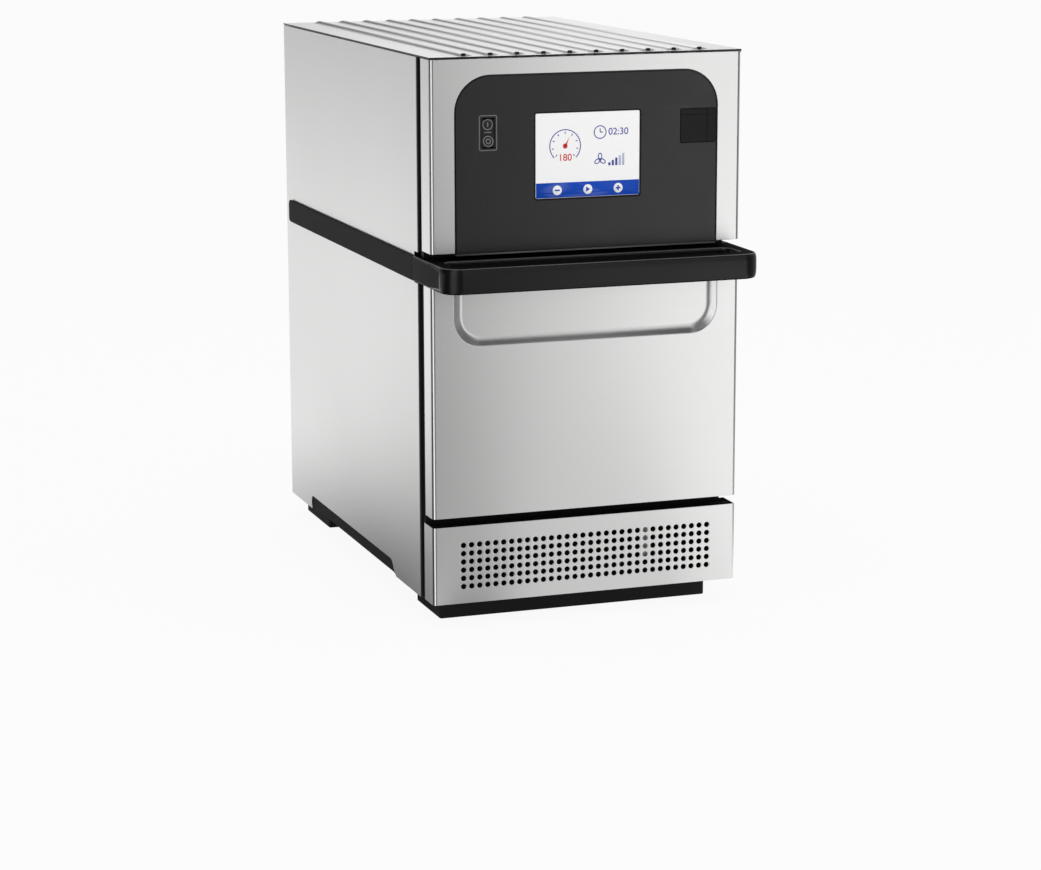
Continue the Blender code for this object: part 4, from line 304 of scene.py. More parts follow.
def arc(centre_u, centre_v, radius, start, end, steps=ARC_STEPS):
    """Points on an arc, angles in degrees."""
    return [polar(centre_u, centre_v, radius, start + (end - start) * step / steps)
            for step in range(steps + 1)]


def rounded(low_u, high_u, low_v, high_v, radii, steps=ARC_STEPS):
    """A rectangle with rounded corners; radii go anticlockwise from the low corner."""
    if isinstance(radii, (int, float)):
        radii = (radii,) * 4
    corners = ((low_u, low_v, 1, 1), (high_u, low_v, -1, 1), (high_u, high_v, -1, -1), (low_u, high_v, 1, -1))
    points = []
    for index, ((u, v, side_u, side_v), radius) in enumerate(zip(corners, radii)):
        if radius == 0:
            points.append((u, v))
        else:
            start = 180 + 90 * index
            points += arc(u + side_u * radius, v + side_v * radius, radius, start, start + 90, steps)
    return points


def circle(centre_u, centre_v, radius, sides=48):
    return arc(centre_u, centre_v, radius, 0, 360, sides)[:-1]


def finish_piece(piece, finish_name, replaced=None, body="cabinet"):
    """Colour a new piece, let it ride on its body, and hide the node that it stands for."""
    piece.data.materials.clear()
    piece.data.materials.append(FINISHES[finish_name])
    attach(piece, body)
    if replaced:
        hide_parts(replaced)


def paint(piece, finish_name, chosen):
    """Give one more finish to the polygons that are chosen."""
    piece.data.materials.append(FINISHES[finish_name])
    for polygon in piece.data.polygons:
        if chosen(polygon):
            polygon.material_index = len(piece.data.materials) - 1


def mesh_from(bm, name, sharp=180):
    """A smoothly shaded mesh whose edges are sharp past an angle in degrees."""
    mesh = bpy.data.meshes.new(name)
    bm.to_mesh(mesh)
    bm.free()
    mesh.shade_smooth()
    if sharp < 180:
        mesh.set_sharp_from_angle(angle=math.radians(sharp))
    return mesh


def surface(name, polygons, facing):
    """A piece made of polygons joined where their corners meet; its largest face looks along facing."""
    bm = bmesh.new()
    for points in polygons:
        bm.faces.new([bm.verts.new(point) for point in points])
    bmesh.ops.remove_doubles(bm, verts=bm.verts, dist=MERGE)
    bmesh.ops.recalc_face_normals(bm, faces=bm.faces)
    largest = max(bm.faces, key=lambda face: face.calc_area())
    if largest.normal.dot(Vector(facing)) < 0:
        bmesh.ops.reverse_faces(bm, faces=bm.faces)
    return new_object(name, mesh_from(bm, name))


def thicken(piece, thickness):
    solid = piece.modifiers.new("thickness", "SOLIDIFY")
    solid.thickness = thickness
    solid.offset = -1
    solid.use_even_offset = True


def sheet_metal(name, polygons, facing, thickness=SHEET, **edges):
    """A surface with a thickness and rounded edges."""
    piece = surface(name, polygons, facing)
    thicken(piece, thickness)
    round_edges(piece, **edges)
    return piece


def loft_faces(rings, closed=True):
    """Quads between rings of equal numbers of points."""
    quads = []
    for lower, upper in zip(rings, rings[1:]):
        for index in range(0 if closed else 1, len(lower)):
            quads.append((lower[index - 1], lower[index], upper[index], upper[index - 1]))
    return quads


def strips(plan, side, levels):
    """Upright strips along a plan on one side, between the given levels."""
    made = []
    for low, high in zip(levels, levels[1:]):
        for (x, y), (next_x, next_y) in zip(plan, plan[1:]):
            made.append([(side * x, y, low), (side * next_x, next_y, low), (side * next_x, next_y, high),
                         (side * x, y, high)])
    return made


def bent_sides(half, front, back, lip, levels):
    """The two bent sides of a front sheet, in strips between the given levels."""
    plan = arc(half - BEND_RADIUS, front + BEND_RADIUS, BEND_RADIUS, 270, 360, BEND_STEPS)
    plan.append((half, back - (BEND_RADIUS / 2 if lip else 0)))
    if lip:
        plan += arc(half - BEND_RADIUS / 2, back - BEND_RADIUS / 2, BEND_RADIUS / 2, 0, 90, BEND_STEPS)[1:]
        plan.append((half - lip, back))
    return strips(plan, -1, levels) + strips(plan, 1, levels)


def paint_slit_shade(piece, back):
    """The lips behind the bends are painted black: painted shade for the dark slits between the modules."""
    paint(piece, "black_steel", lambda face: face.center.y > back - BEND_RADIUS / 2)


# Lower grille
GRILLE_ROWS = 6
GRILLE_COLUMNS = 32
GRILLE_PITCH = 0.00925
GRILLE_HOLE = 0.0060
GRILLE_RISE = 0.0420
GRILLE_EDGE = 0.00022
MODULE_LIP = 0.010
HOLE_SIDES = 24


def grille_cell(x, z, front):
    """One square of the grille with its round hole; also where it meets its neighbours."""
    inner, outer = [], []
    for u, v in circle(0, 0, 1, HOLE_SIDES):
        reach = GRILLE_PITCH / 2 / max(abs(u), abs(v))
        inner.append((x + GRILLE_HOLE / 2 * u, front, z + GRILLE_HOLE / 2 * v))
        outer.append((x + reach * u, front, z + reach * v))
    return loft_faces([inner, outer])


def grille_panel():
    low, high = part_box("grille_panel")
    front, back, half = low.y, high.y, high.x
    middle = low.z + GRILLE_RISE
    block_u, block_v = GRILLE_COLUMNS * GRILLE_PITCH / 2, GRILLE_ROWS * GRILLE_PITCH / 2
    polygons = []
    for row in range(GRILLE_ROWS):
        for column in range(GRILLE_COLUMNS):
            polygons += grille_cell((column + 0.5) * GRILLE_PITCH - block_u,
                                    middle + (row + 0.5) * GRILLE_PITCH - block_v, front)
    steps = HOLE_SIDES // 8
    shares = [math.tan(math.radians(45 * step / steps)) / 2 for step in range(-steps, steps + 1)]
    upright = sorted({round(middle + (row + 0.5 + share) * GRILLE_PITCH - block_v, 7)
                      for row in range(GRILLE_ROWS) for share in shares})
    level = sorted({round((column + 0.5 + share) * GRILLE_PITCH - block_u, 7)
                    for column in range(GRILLE_COLUMNS) for share in shares})
    flat = half - BEND_RADIUS
    halfway = round(middle, 7)
    for edge, rows in ((low.z, [z for z in upright if z <= halfway]),
                       (high.z, [z for z in upright if z >= halfway][::-1])):
        polygon = [(-flat, front, middle), (-flat, front, edge), (flat, front, edge), (flat, front, middle)]
        polygon += [(block_u, front, z) for z in rows[::-1]]
        polygon += [(x, front, rows[0]) for x in level[-2:0:-1]]
        polygon += [(-block_u, front, z) for z in rows]
        polygons.append(polygon)
    polygons += bent_sides(half, front, back, MODULE_LIP, (low.z, middle, high.z))
    piece = sheet_metal("grille_front", polygons, (0, -1, 0), width=GRILLE_EDGE, segments=1)
    finish_piece(piece, "steel_level", "grille_panel", "grille")
    paint_slit_shade(piece, back)


# Door skin with its pressed recess
GRIP_SIDE = 0.025
GRIP_DROP = 0.0663
GRIP_DEPTH = 0.0055
GRIP_SLOPE = 0.012
GRIP_CORNER = 0.032
DOOR_SETBACK = 0.007
SLOPE_STEPS = 16


def grip_path(half, floor, corner, top, y):
    """The recess's outline at one depth, from its left end at the top edge round to its right end."""
    path = [(-half, top)] + arc(corner - half, floor + corner, corner, 180, 270)
    path += arc(half - corner, floor + corner, corner, 270, 360) + [(half, top)]
    return [(x, y, z) for x, z in path]


def door_skin():
    low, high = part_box("door_outer_skin")
    front, back, half = low.y, high.y - DOOR_SETBACK, high.x
    middles = [(step + 0.5) / SLOPE_STEPS for step in range(SLOPE_STEPS)]
    falls = [share ** 0.5 * (1 - share) ** 1.5 for share in middles]
    rings = []
    for step in range(SLOPE_STEPS + 1):
        inset = GRIP_SLOPE * step / SLOPE_STEPS
        depth = GRIP_DEPTH * sum(falls[:step]) / sum(falls)
        rings.append(grip_path(half - GRIP_SIDE - inset, high.z - GRIP_DROP + inset, GRIP_CORNER - inset,
                               high.z, front + depth))
    flat = half - BEND_RADIUS
    face = [(-flat, front, high.z), (-flat, front, low.z), (flat, front, low.z), (flat, front, high.z)]
    polygons = [face + rings[0][::-1], rings[-1]]
    polygons += loft_faces(rings, closed=False)
    polygons += bent_sides(half, front, back, 0, (low.z, high.z))
    finish_piece(sheet_metal("door_front", polygons, (0, -1, 0)), "steel_level",
                 "door_outer_skin", "door")


# Upper fascia
INSERT_CORNER = 0.040
FASCIA_SIDE = 0.0275
FASCIA_TOP_STRIP = 0.0173


def fascia():
    low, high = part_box("upper_fascia")
    front, back, half = low.y, high.y, high.x
    flat = half - BEND_RADIUS
    opening = half - FASCIA_SIDE + SEAT_GAP
    top = high.z - FASCIA_TOP_STRIP + SEAT_GAP
    corner = INSERT_CORNER + SEAT_GAP
    path = [(-opening, low.z)]
    path += arc(corner - opening, top - corner, corner, 180, 90)
    path += arc(opening - corner, top - corner, corner, 90, 0)
    path += [(opening, low.z), (flat, low.z), (flat, high.z), (-flat, high.z), (-flat, low.z)]
    polygons = [[(x, front, z) for x, z in path]]
    polygons += bent_sides(half, front, back, MODULE_LIP, (low.z, high.z))
    piece = sheet_metal("fascia_front", polygons, (0, -1, 0))
    finish_piece(piece, "steel_level", "upper_fascia")
    paint_slit_shade(piece, back)


# Lid
RIB_COUNT = 10
RIB_PITCH = 0.030
RIB_WIDTH = 0.021
RIB_SETBACK = 0.016
RIB_HEIGHT = 0.0026
RIB_STEPS = 16
RIB_MOUTH_STEPS = 2
MOUTH_SLANT = 0.9
MOUTH_RISE_SHARE = 0.45
LID_THICKNESS = 0.0016
LID_EDGE_ANGLE = 60


def lid():
    """A sheet with pressed ribs; its cut edges are painted black, and each rib's end walls have a small mouth
    painted dark: both painted shade.
    """
    low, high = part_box("top_panel")
    deck = high.z - RIB_HEIGHT
    start, end = low.y + RIB_SETBACK, high.y - RIB_SETBACK
    middles = [(index - (RIB_COUNT - 1) / 2) * RIB_PITCH for index in range(RIB_COUNT)]
    edges = [low.x] + [x + side * RIB_WIDTH / 2 for x in middles for side in (-1, 1)] + [high.x]
    polygons = []
    for left, right in zip(edges[::2], edges[1::2]):
        polygons.append([(left, low.y, deck), (right, low.y, deck), (right, start, deck), (right, end, deck),
                         (right, high.y, deck), (left, high.y, deck), (left, end, deck), (left, start, deck)])
    shares = [2 * step / RIB_STEPS - 1 for step in range(RIB_STEPS + 1)]
    first, last = RIB_STEPS // 2 - RIB_MOUTH_STEPS, RIB_STEPS // 2 + RIB_MOUTH_STEPS
    for x in middles:
        bell = [(x + share * RIB_WIDTH / 2, deck + RIB_HEIGHT * (1 + math.cos(math.pi * share)) / 2)
                for share in shares]
        near, far = [[(u, y, w) for u, w in bell] for y in (start, end)]
        polygons += loft_faces([near, far], closed=False)
        for wall, rim in ((near, low.y), (far, high.y)):
            mouth = [(wall[first][0], wall[0][1], deck), (wall[last][0], wall[0][1], deck)]
            polygons += [wall[:first + 1] + mouth[:1], mouth[:1] + wall[first:last + 1] + mouth[1:],
                         mouth[1:] + wall[last:]]
            polygons.append([(bell[0][0], rim, deck), (bell[-1][0], rim, deck), wall[-1]] + mouth[::-1]
                            + [wall[0]])
    piece = sheet_metal("lid", polygons, (0, 0, 1), LID_THICKNESS, angle=LID_EDGE_ANGLE)
    # The cut edges and their rounding take the black finish: painted shade for the gap under the lid's rim.
    piece.modifiers["thickness"].material_offset_rim = 1
    piece.modifiers["edges"].material = 1
    finish_piece(piece, "steel_lid", "top_panel")
    # The upper part of each rib's end walls is painted black: painted shade in the rib's mouth.
    paint(piece, "black_steel", lambda face: abs(face.normal.y) > MOUTH_SLANT
          and face.center.z > deck + RIB_HEIGHT * MOUTH_RISE_SHARE)


# Side panels
SIDE_FLANGE = 0.012
SIDE_BEND = 0.0020
SHADED_BEND_SHARE = 0.3
HANDHOLD_START = 0.135
HANDHOLD_END_SETBACK = 0.095
HANDHOLD_RISE = 0.0166
HANDHOLD_RADIUS = 0.014
NOTCH_ROOM_BELOW = 0.0015
NOTCH_ROOM_ABOVE = 0.0045
NOTCH_BACK = 0.0591


def side_panel(side):
    word = "left" if side < 0 else "right"
    low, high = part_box(word + "_side_panel")
    handle_low, handle_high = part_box("door_handle")
    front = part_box("upper_fascia")[0].y
    half = max(abs(low.x), abs(high.x))
    notch_low, notch_high = handle_low.z - NOTCH_ROOM_BELOW, handle_high.z + NOTCH_ROOM_ABOVE
    notch_back = front + NOTCH_BACK
    start, end = front + HANDHOLD_START, high.y - HANDHOLD_END_SETBACK
    top, radius = low.z + HANDHOLD_RISE, HANDHOLD_RADIUS
    near, far = low.y + SIDE_BEND, high.y - SIDE_BEND
    face = [(near, low.z), (start + radius / 3, low.z)]
    face += arc(start + 2 * radius, top - radius, radius, 160, 90)
    face += arc(end - radius / 2, top - radius / 2, radius / 2, 90, 0)
    face += [(end, low.z), (far, low.z), (far, high.z), (near, high.z), (near, notch_high),
             (notch_back, notch_high), (notch_back, notch_low), (near, notch_low)]
    inner = half - SIDE_FLANGE
    fore = [(inner, low.y)] + arc(half - SIDE_BEND, low.y + SIDE_BEND, SIDE_BEND, 270, 360, BEND_STEPS)
    aft = arc(half - SIDE_BEND, high.y - SIDE_BEND, SIDE_BEND, 0, 90, BEND_STEPS) + [(inner, high.y)]
    polygons = [[(side * half, y, z) for y, z in face]] + strips(fore, side, (low.z, notch_low))
    polygons += strips(fore, side, (notch_high, high.z)) + strips(aft, side, (low.z, high.z))
    piece = sheet_metal(word + "_side", polygons, (side, 0, 0))
    finish_piece(piece, "steel_side", word + "_side_panel")
    # The front of the bend is painted black: painted shade for the dark slit beside the front modules.
    paint(piece, "black_steel", lambda face: face.center.y < low.y + SIDE_BEND * SHADED_BEND_SHARE)


# Handle
HANDLE_CORNER = 0.021
HANDLE_BAR_DEPTH = 0.019
HANDLE_ARM_WIDTH = 0.006
HANDLE_END_WIDTH = 0.017
HANDLE_SLOT_CORNER = 0.010
HANDLE_EDGE = 0.0042
ARM_EDGE = 0.0022
SLOT_EDGE = 0.0030
WEB_EDGE = 0.0012
EDGE_STEPS = 10
CROWN_SHARE = 0.97
CROWN_POWER = 0.6
LEAST_SPREAD = 0.3
ON_MIDDLE = 0.0000001
FLAT_SLANT = 0.97
SHADED_UNDERSIDE_SLANT = -0.45
HIGHLIGHT_SLANT = 0.55


def inset_outline(points, widths):
    """Move each corner of an anticlockwise outline inward by its own width."""
    moved = []
    for index, point in enumerate(points):
        before, here = Vector(points[index - 1]), Vector(point)
        after = Vector(points[(index + 1) % len(points)])
        come, go = (here - before).normalized(), (after - here).normalized()
        normal = Vector((-come.y - go.y, come.x + go.x)).normalized()
        spread = max(normal.dot(Vector((-come.y, come.x))), LEAST_SPREAD)
        moved.append(here + normal * widths[index] / spread)
    return [(point.x, point.y) for point in moved]


def edge_rings(points, widths, low, high, crowned=()):
    """Rings up a wall whose lower and upper edges are rounded by each corner's own width.

    The corners whose places are in crowned bulge over the wall's whole height.
    """
    rings = []
    half = (high - low) / 2 * CROWN_SHARE
    powers = [CROWN_POWER if index in crowned else 1 for index in range(len(points))]
    for base, sign in ((low, 1), (high, -1)):
        levels = []
        for step in range(EDGE_STEPS + 1):
            turn = math.radians(90 * step / EDGE_STEPS)
            inward = [width * (1 - math.sin(turn) ** power) for width, power in zip(widths, powers)]
            plan = inset_outline(points, inward)
            levels.append([(u, v, base + sign * (half if power != 1 else abs(width))
                            * (1 - math.cos(turn) ** power))
                           for (u, v), width, power in zip(plan, widths, powers)])
        rings += levels if sign > 0 else levels[::-1]
    return rings


def half_ring(ring, side):
    """The stretch of an anticlockwise ring on one side of X = 0, with its two points there."""
    middle = [index for index, point in enumerate(ring) if abs(point[0]) < ON_MIDDLE]
    start, end = sorted(middle, key=lambda index: side * ring[index][1])
    turned = ring[start:] + ring[:start]
    return turned[:(end - start) % len(ring) + 1]


def handle():
    """The bar, its rounded ends, the cap over the door and the two arms, in one moulding."""
    low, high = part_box("door_handle")
    door_low, door_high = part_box("door_outer_skin")
    front, web_back = door_low.y, door_high.y - SEAT_GAP
    half, inner = high.x, high.x - HANDLE_ARM_WIDTH
    corner = HANDLE_CORNER
    outer = [(half, high.y), (inner, high.y), (inner, web_back), (0, web_back), (-inner, web_back),
             (-inner, high.y), (-half, high.y), (-half, front)]
    widths = [ARM_EDGE] * 2 + [WEB_EDGE] * 3 + [ARM_EDGE] * 2 + [SLOT_EDGE]
    bow = arc(corner - half, low.y + corner, corner, 180, 270)
    outer += bow + [(0, low.y)] + [(-u, v) for u, v in bow[::-1]] + [(half, front)]
    widths += [HANDLE_EDGE] * (2 * len(bow) + 1) + [SLOT_EDGE]
    bar_back = low.y + HANDLE_BAR_DEPTH
    slot_half = half - HANDLE_END_WIDTH
    slot = rounded(-slot_half, slot_half, bar_back, front, HANDLE_SLOT_CORNER)
    slot.insert(slot.index(max(slot, key=lambda point: (-round(point[1], 6), point[0]))), (0, bar_back))
    slot.insert(len(slot) - ARC_STEPS - 1, (0, front))
    bulging = {index for index, width in enumerate(widths) if width == HANDLE_EDGE}
    rings = edge_rings(outer, widths, low.z, high.z, bulging)
    wells = edge_rings(slot, [-SLOT_EDGE] * len(slot), low.z, high.z)
    polygons = loft_faces(rings) + loft_faces(wells)
    for ring, well in ((rings[0], wells[0]), (rings[-1], wells[-1])):
        for side in (-1, 1):
            polygons.append(half_ring(ring, side) + half_ring(well, side)[::-1])
    piece = surface("handle", polygons, (0, -1, 0))
    weigh_normals(piece, False)
    finish_piece(piece, "black_moulding", "door_handle", "door")
    # The arms' flat sides take the dull strip finish: painted shade in place of the bright reflection they
    # would catch.
    paint(piece, "black_strip_and_painted_shade", lambda face: abs(face.normal.x) > FLAT_SLANT
          and face.center.y > low.y + corner)
    # The flat tops and the undersides take a dead black finish: painted shade.
    paint(piece, "black_painted_shade", lambda face: face.normal.z > FLAT_SLANT or face.normal.z < SHADED_UNDERSIDE_SLANT)
    # The rounded upper edges take the lighter black: a painted highlight line.
    paint(piece, "black_painted_highlight", lambda face: HIGHLIGHT_SLANT < face.normal.z <= FLAT_SLANT)


# Foot rails, and the dark wall seen in each hand cut-out
FOOT_CORNER = 0.003
FOOT_EDGE = 0.0010
FOOT_STEPS = 4
GRIP_WALL_RISE = 0.0275
GRIP_WALL_SINK = 0.0014


def foot_rail(name):
    low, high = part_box(name + "_rail")
    plan = rounded(low.x, high.x, low.y, high.y, FOOT_CORNER, FOOT_STEPS)
    rings = edge_rings(plan, [FOOT_EDGE] * len(plan), low.z, high.z)
    piece = surface(name, loft_faces(rings) + [rings[0], rings[-1]], (0, 0, 1))
    weigh_normals(piece, False)
    finish_piece(piece, "black_strip_and_painted_shade", name + "_rail")


def grip_wall(side):
    word = "left" if side < 0 else "right"
    low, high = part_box(word + "_side_panel")
    top = low.z + HANDHOLD_RISE + HANDHOLD_RADIUS / 2
    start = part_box("upper_fascia")[0].y + HANDHOLD_START
    end = high.y - HANDHOLD_END_SETBACK + HANDHOLD_RADIUS
    outer = max(abs(low.x), abs(high.x)) - GRIP_WALL_SINK
    face = [(start - HANDHOLD_RADIUS, top), (start - HANDHOLD_RADIUS, low.z),
            (start + HANDHOLD_RADIUS * 2 / 3, low.z), (start + HANDHOLD_RADIUS * 4 / 3, GRIP_WALL_RISE),
            (end, GRIP_WALL_RISE), (end, top)]
    piece = sheet_metal(word + "_grip_wall", [[(side * outer, y, z) for y, z in face]], (side, 0, 0))
    finish_piece(piece, "black_strip_and_painted_shade")


# Flat plates and printed lines on the front
PRINT_LIFT = 0.00006
BAR_STEPS = 6


def stand_up(name, data, front, thickness):
    """The mesh of a flat curve or text, stood up with its face to the front."""
    drawn = bpy.data.objects.new(name, data)
    flat = bpy.data.meshes.new_from_object(drawn)
    bm = bmesh.new()
    bm.from_mesh(flat)
    bpy.data.objects.remove(drawn)
    bpy.data.meshes.remove(flat)
    for vertex in bm.verts:
        u, v, w = vertex.co
        vertex.co = (u, front + thickness / 2 - w, v)
    bmesh.ops.remove_doubles(bm, verts=bm.verts, dist=MERGE)
    return mesh_from(bm, name, EDGE_ANGLE)


def plate_mesh(name, outlines, front, thickness, edge):
    """A flat plate across the front: the first outline is its edge and the others are openings."""
    data = bpy.data.curves.new(name, "CURVE")
    data.dimensions = "2D"
    data.fill_mode = "BOTH"
    data.extrude = thickness / 2 - edge
    data.bevel_depth = edge
    data.bevel_resolution = 2
    data.offset = -edge
    for outline in outlines:
        spline = data.splines.new("POLY")
        spline.points.add(len(outline) - 1)
        for point, (u, v) in zip(spline.points, outline):
            point.co = (u, v, 0, 1)
        spline.use_cyclic_u = True
    return stand_up(name, data, front, thickness)


def plates(name, layers):
    """One piece made of flat plates; a layer is its outlines, front, thickness and rounded edge."""
    bm = bmesh.new()
    for layer in layers:
        mesh = plate_mesh(name, *layer)
        bm.from_mesh(mesh)
        bpy.data.meshes.remove(mesh)
    piece = new_object(name, mesh_from(bm, name, EDGE_ANGLE))
    weigh_normals(piece)
    return piece


def outline_of(names, corner, grow=0.0):
    """The rounded outline, seen from the front, of the box around the named nodes."""
    boxes = [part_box(name) for name in names.split()]
    low_u, low_v = (min(low[axis] for low, high in boxes) - grow for axis in (0, 2))
    high_u, high_v = (max(high[axis] for low, high in boxes) + grow for axis in (0, 2))
    return rounded(low_u, high_u, low_v, high_v, corner + grow)


def stroke(points, width, closed=False):
    """Quads along a smooth line."""
    count = len(points)
    sides = ([], [])
    for index, (u, v) in enumerate(points):
        before = Vector(points[index - 1 if closed else max(index - 1, 0)])
        after = Vector(points[(index + 1) % count if closed else min(index + 1, count - 1)])
        along = (after - before).normalized() * width / 2
        sides[0].append((u + along.y, v - along.x))
        sides[1].append((u - along.y, v + along.x))
    return loft_faces(sides, closed)


def bar(u, v, width, height, corner=0):
    """An upright rectangle about its middle."""
    return [rounded(u - width / 2, u + width / 2, v - height / 2, v + height / 2, corner, BAR_STEPS)]


def printed(name, shapes, place, finish_name, body="cabinet"):
    """Flat shapes laid on a surface; place gives a point's depth from its height."""
    piece = surface(name, [[(u, place(v) - PRINT_LIFT, v) for u, v in shape] for shape in shapes], (0, -1, 0))
    thicken(piece, PRINT_LIFT / 2)
    finish_piece(piece, finish_name, body=body)


# Black insert of the fascia and the display
SCREEN_CORNER = 0.0015
SCREEN_FRAME = 0.0016
SCREEN_SINK = 0.0005
SWITCH_EAR = 0.0022
SWITCH_CORNER = 0.0013 + SWITCH_EAR
COVER_CORNER = 0.0015
INSERT_THICKNESS = 0.0035
INSERT_GROOVE = 0.0012
INSERT_GROOVE_DEPTH = 0.0018
INSERT_EDGE = 0.0006
BEAD_RADIUS = 0.0010
BEAD_GAP = 0.0006


def insert():
    """The plate behind a narrow groove, the bead under it, and the thin frame around the display."""
    low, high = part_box("upper_fascia")
    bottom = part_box("control_panel")[0].z
    openings = [outline_of("touchscreen", SCREEN_CORNER, SCREEN_FRAME),
                outline_of("switch_housing", SWITCH_CORNER, SEAT_GAP - SWITCH_EAR),
                outline_of("usb_cover usb_cover_strip", COVER_CORNER, SEAT_GAP)]
    layers = []
    for groove, depth, end, edge in ((INSERT_GROOVE, 0, INSERT_GROOVE_DEPTH + SEAT_GAP, INSERT_EDGE),
                                     (0, INSERT_GROOVE_DEPTH, INSERT_THICKNESS, 0)):
        half, top = high.x - FASCIA_SIDE - groove, high.z - FASCIA_TOP_STRIP - groove
        foot = bottom + (2 * BEAD_RADIUS + BEAD_GAP if groove else 0)
        corners = (0, 0, INSERT_CORNER - groove, INSERT_CORNER - groove)
        outline = rounded(-half, half, foot, top, corners, 2 * ARC_STEPS)
        layers.append(([outline] + openings, low.y + depth, end - depth, edge))
    finish_piece(plates("insert", layers), "black_panel", "control_panel")
    profile = arc(low.y + BEAD_RADIUS, bottom + BEAD_RADIUS, BEAD_RADIUS, 90, 270)
    profile += [(low.y + INSERT_GROOVE_DEPTH, profile[-1][1]), (low.y + INSERT_GROOVE_DEPTH, profile[0][1])]
    ends = [[(x, y, z) for y, z in profile] for x in (INSERT_GROOVE - half, half - INSERT_GROOVE)]
    bead = surface("insert_bead", loft_faces(ends) + ends, (0, 0, -1))
    # The bead takes the lighter black: a painted highlight line under the insert.
    finish_piece(bead, "black_painted_highlight")
    outlines = [outline_of("touchscreen", SCREEN_CORNER, grow) for grow in (SCREEN_FRAME - SEAT_GAP / 3,
                                                                            SEAT_GAP / 3)]
    finish_piece(plates("screen_frame", [(outlines, low.y + SCREEN_SINK, INSERT_THICKNESS - SCREEN_SINK,
                                          SEAT_GAP / 2)]), "black_cover")


# The picture on the display, in metres from its lower left corner
BAND_HEIGHT = 0.0165
LINE = 0.0011
DIAL_PLACE = (0.0335, 0.0555)
DIAL_RADIUS = 0.0175
DIAL_START = 225.0
DIAL_END = -45.0
TICK_COUNT = 9
TICK_LENGTH = 0.0022
NEEDLE_ANGLE = 62.0
NEEDLE_HUB = 2.5
HEAT_DROP = 0.0126
CLOCK_PLACE = (0.0735, 0.0690)
CLOCK_RADIUS = 0.0068
LONG_HAND = 0.00408
SHORT_HAND = 0.0034
TIME_STEP = 0.02108
FAN_PLACE = (0.0735, 0.0395)
FAN_RADIUS = 0.0068
FAN_HUB = 1.5
LEAF_SHARE = 0.6
LEAF_SIDES = 24
LEVELS = 5
LEVELS_ON = 3
LEVEL_PITCH = 0.0040
LEVEL_WIDTH = 0.0026
LEVEL_LOWEST = 0.0034
LEVEL_RISE = 0.00238
BUTTON_RADIUS = 0.0052
BUTTON_PLACES = (0.0245, 0.0595, 0.0945)
SIGN_SHARE = 0.55
DIGIT_SIZE = 0.0105
DIGIT_BOLD = 0.00012


def dial_shapes():
    u, v = DIAL_PLACE
    shapes = stroke(arc(u, v, DIAL_RADIUS, DIAL_START, DIAL_END, 48), LINE)
    reach = DIAL_RADIUS - TICK_LENGTH
    for index in range(TICK_COUNT):
        angle = DIAL_START + (DIAL_END - DIAL_START) * index / (TICK_COUNT - 1)
        shapes += stroke([polar(u, v, radius, angle) for radius in (reach - TICK_LENGTH, reach)], LINE)
    return shapes


def needle_shapes():
    u, v = DIAL_PLACE
    tip = polar(u, v, DIAL_RADIUS - 3 * TICK_LENGTH, NEEDLE_ANGLE)
    foot = [polar(u, v, side * LINE, NEEDLE_ANGLE + 90) for side in (-1, 1)]
    return [[foot[0], tip, foot[1]], circle(u, v, NEEDLE_HUB * LINE)]


def clock_shapes():
    u, v = CLOCK_PLACE
    shapes = stroke(circle(u, v, CLOCK_RADIUS), LINE, closed=True)
    return shapes + bar(u, v + LONG_HAND / 2, LINE, LONG_HAND) + bar(u + SHORT_HAND / 2, v, SHORT_HAND, LINE)


def fan_shapes():
    u, v = FAN_PLACE
    reach = FAN_RADIUS / 2
    shapes = [circle(u, v, FAN_HUB * LINE)]
    for turn in (90, 210, 330):
        leaf = [polar(*polar(u, v, along, turn), LEAF_SHARE * across, turn + 90)
                for along, across in circle(reach, 0, reach, LEAF_SIDES)]
        shapes += stroke(leaf, LINE, closed=True)
    return shapes


def level_shapes(first, last):
    shapes = []
    for index in range(first, last):
        height = LEVEL_LOWEST + LEVEL_RISE * index
        shapes += bar(FAN_PLACE[0] + FAN_RADIUS + (index + 1) * LEVEL_PITCH,
                      FAN_PLACE[1] - FAN_RADIUS + height / 2, LEVEL_WIDTH, height)
    return shapes


def button_signs():
    size, width = BUTTON_RADIUS * SIGN_SHARE, 1.6 * LINE
    middle = BAND_HEIGHT / 2
    minus, play, plus = BUTTON_PLACES
    shapes = bar(minus, middle, 2 * size, width) + bar(plus, middle, 2 * size, width)
    for side in (-1, 1):
        shapes += bar(plus, middle + side * (size + width / 2) / 2, width, size - width / 2)
    back = play - 0.7 * size
    return shapes + [[(back, middle - size), (play + size, middle), (back, middle + size)]]


def digits(name, text, u, v, front, finish_name):
    data = bpy.data.curves.new(name, "FONT")
    data.body = text
    data.size = DIGIT_SIZE
    data.align_x = "CENTER"
    data.align_y = "CENTER"
    data.extrude = PRINT_LIFT / 4
    data.offset = DIGIT_BOLD
    mesh = stand_up(name, data, front - PRINT_LIFT, PRINT_LIFT / 2)
    mesh.transform(Matrix.Translation((u, 0, v)))
    finish_piece(new_object(name, mesh), finish_name)


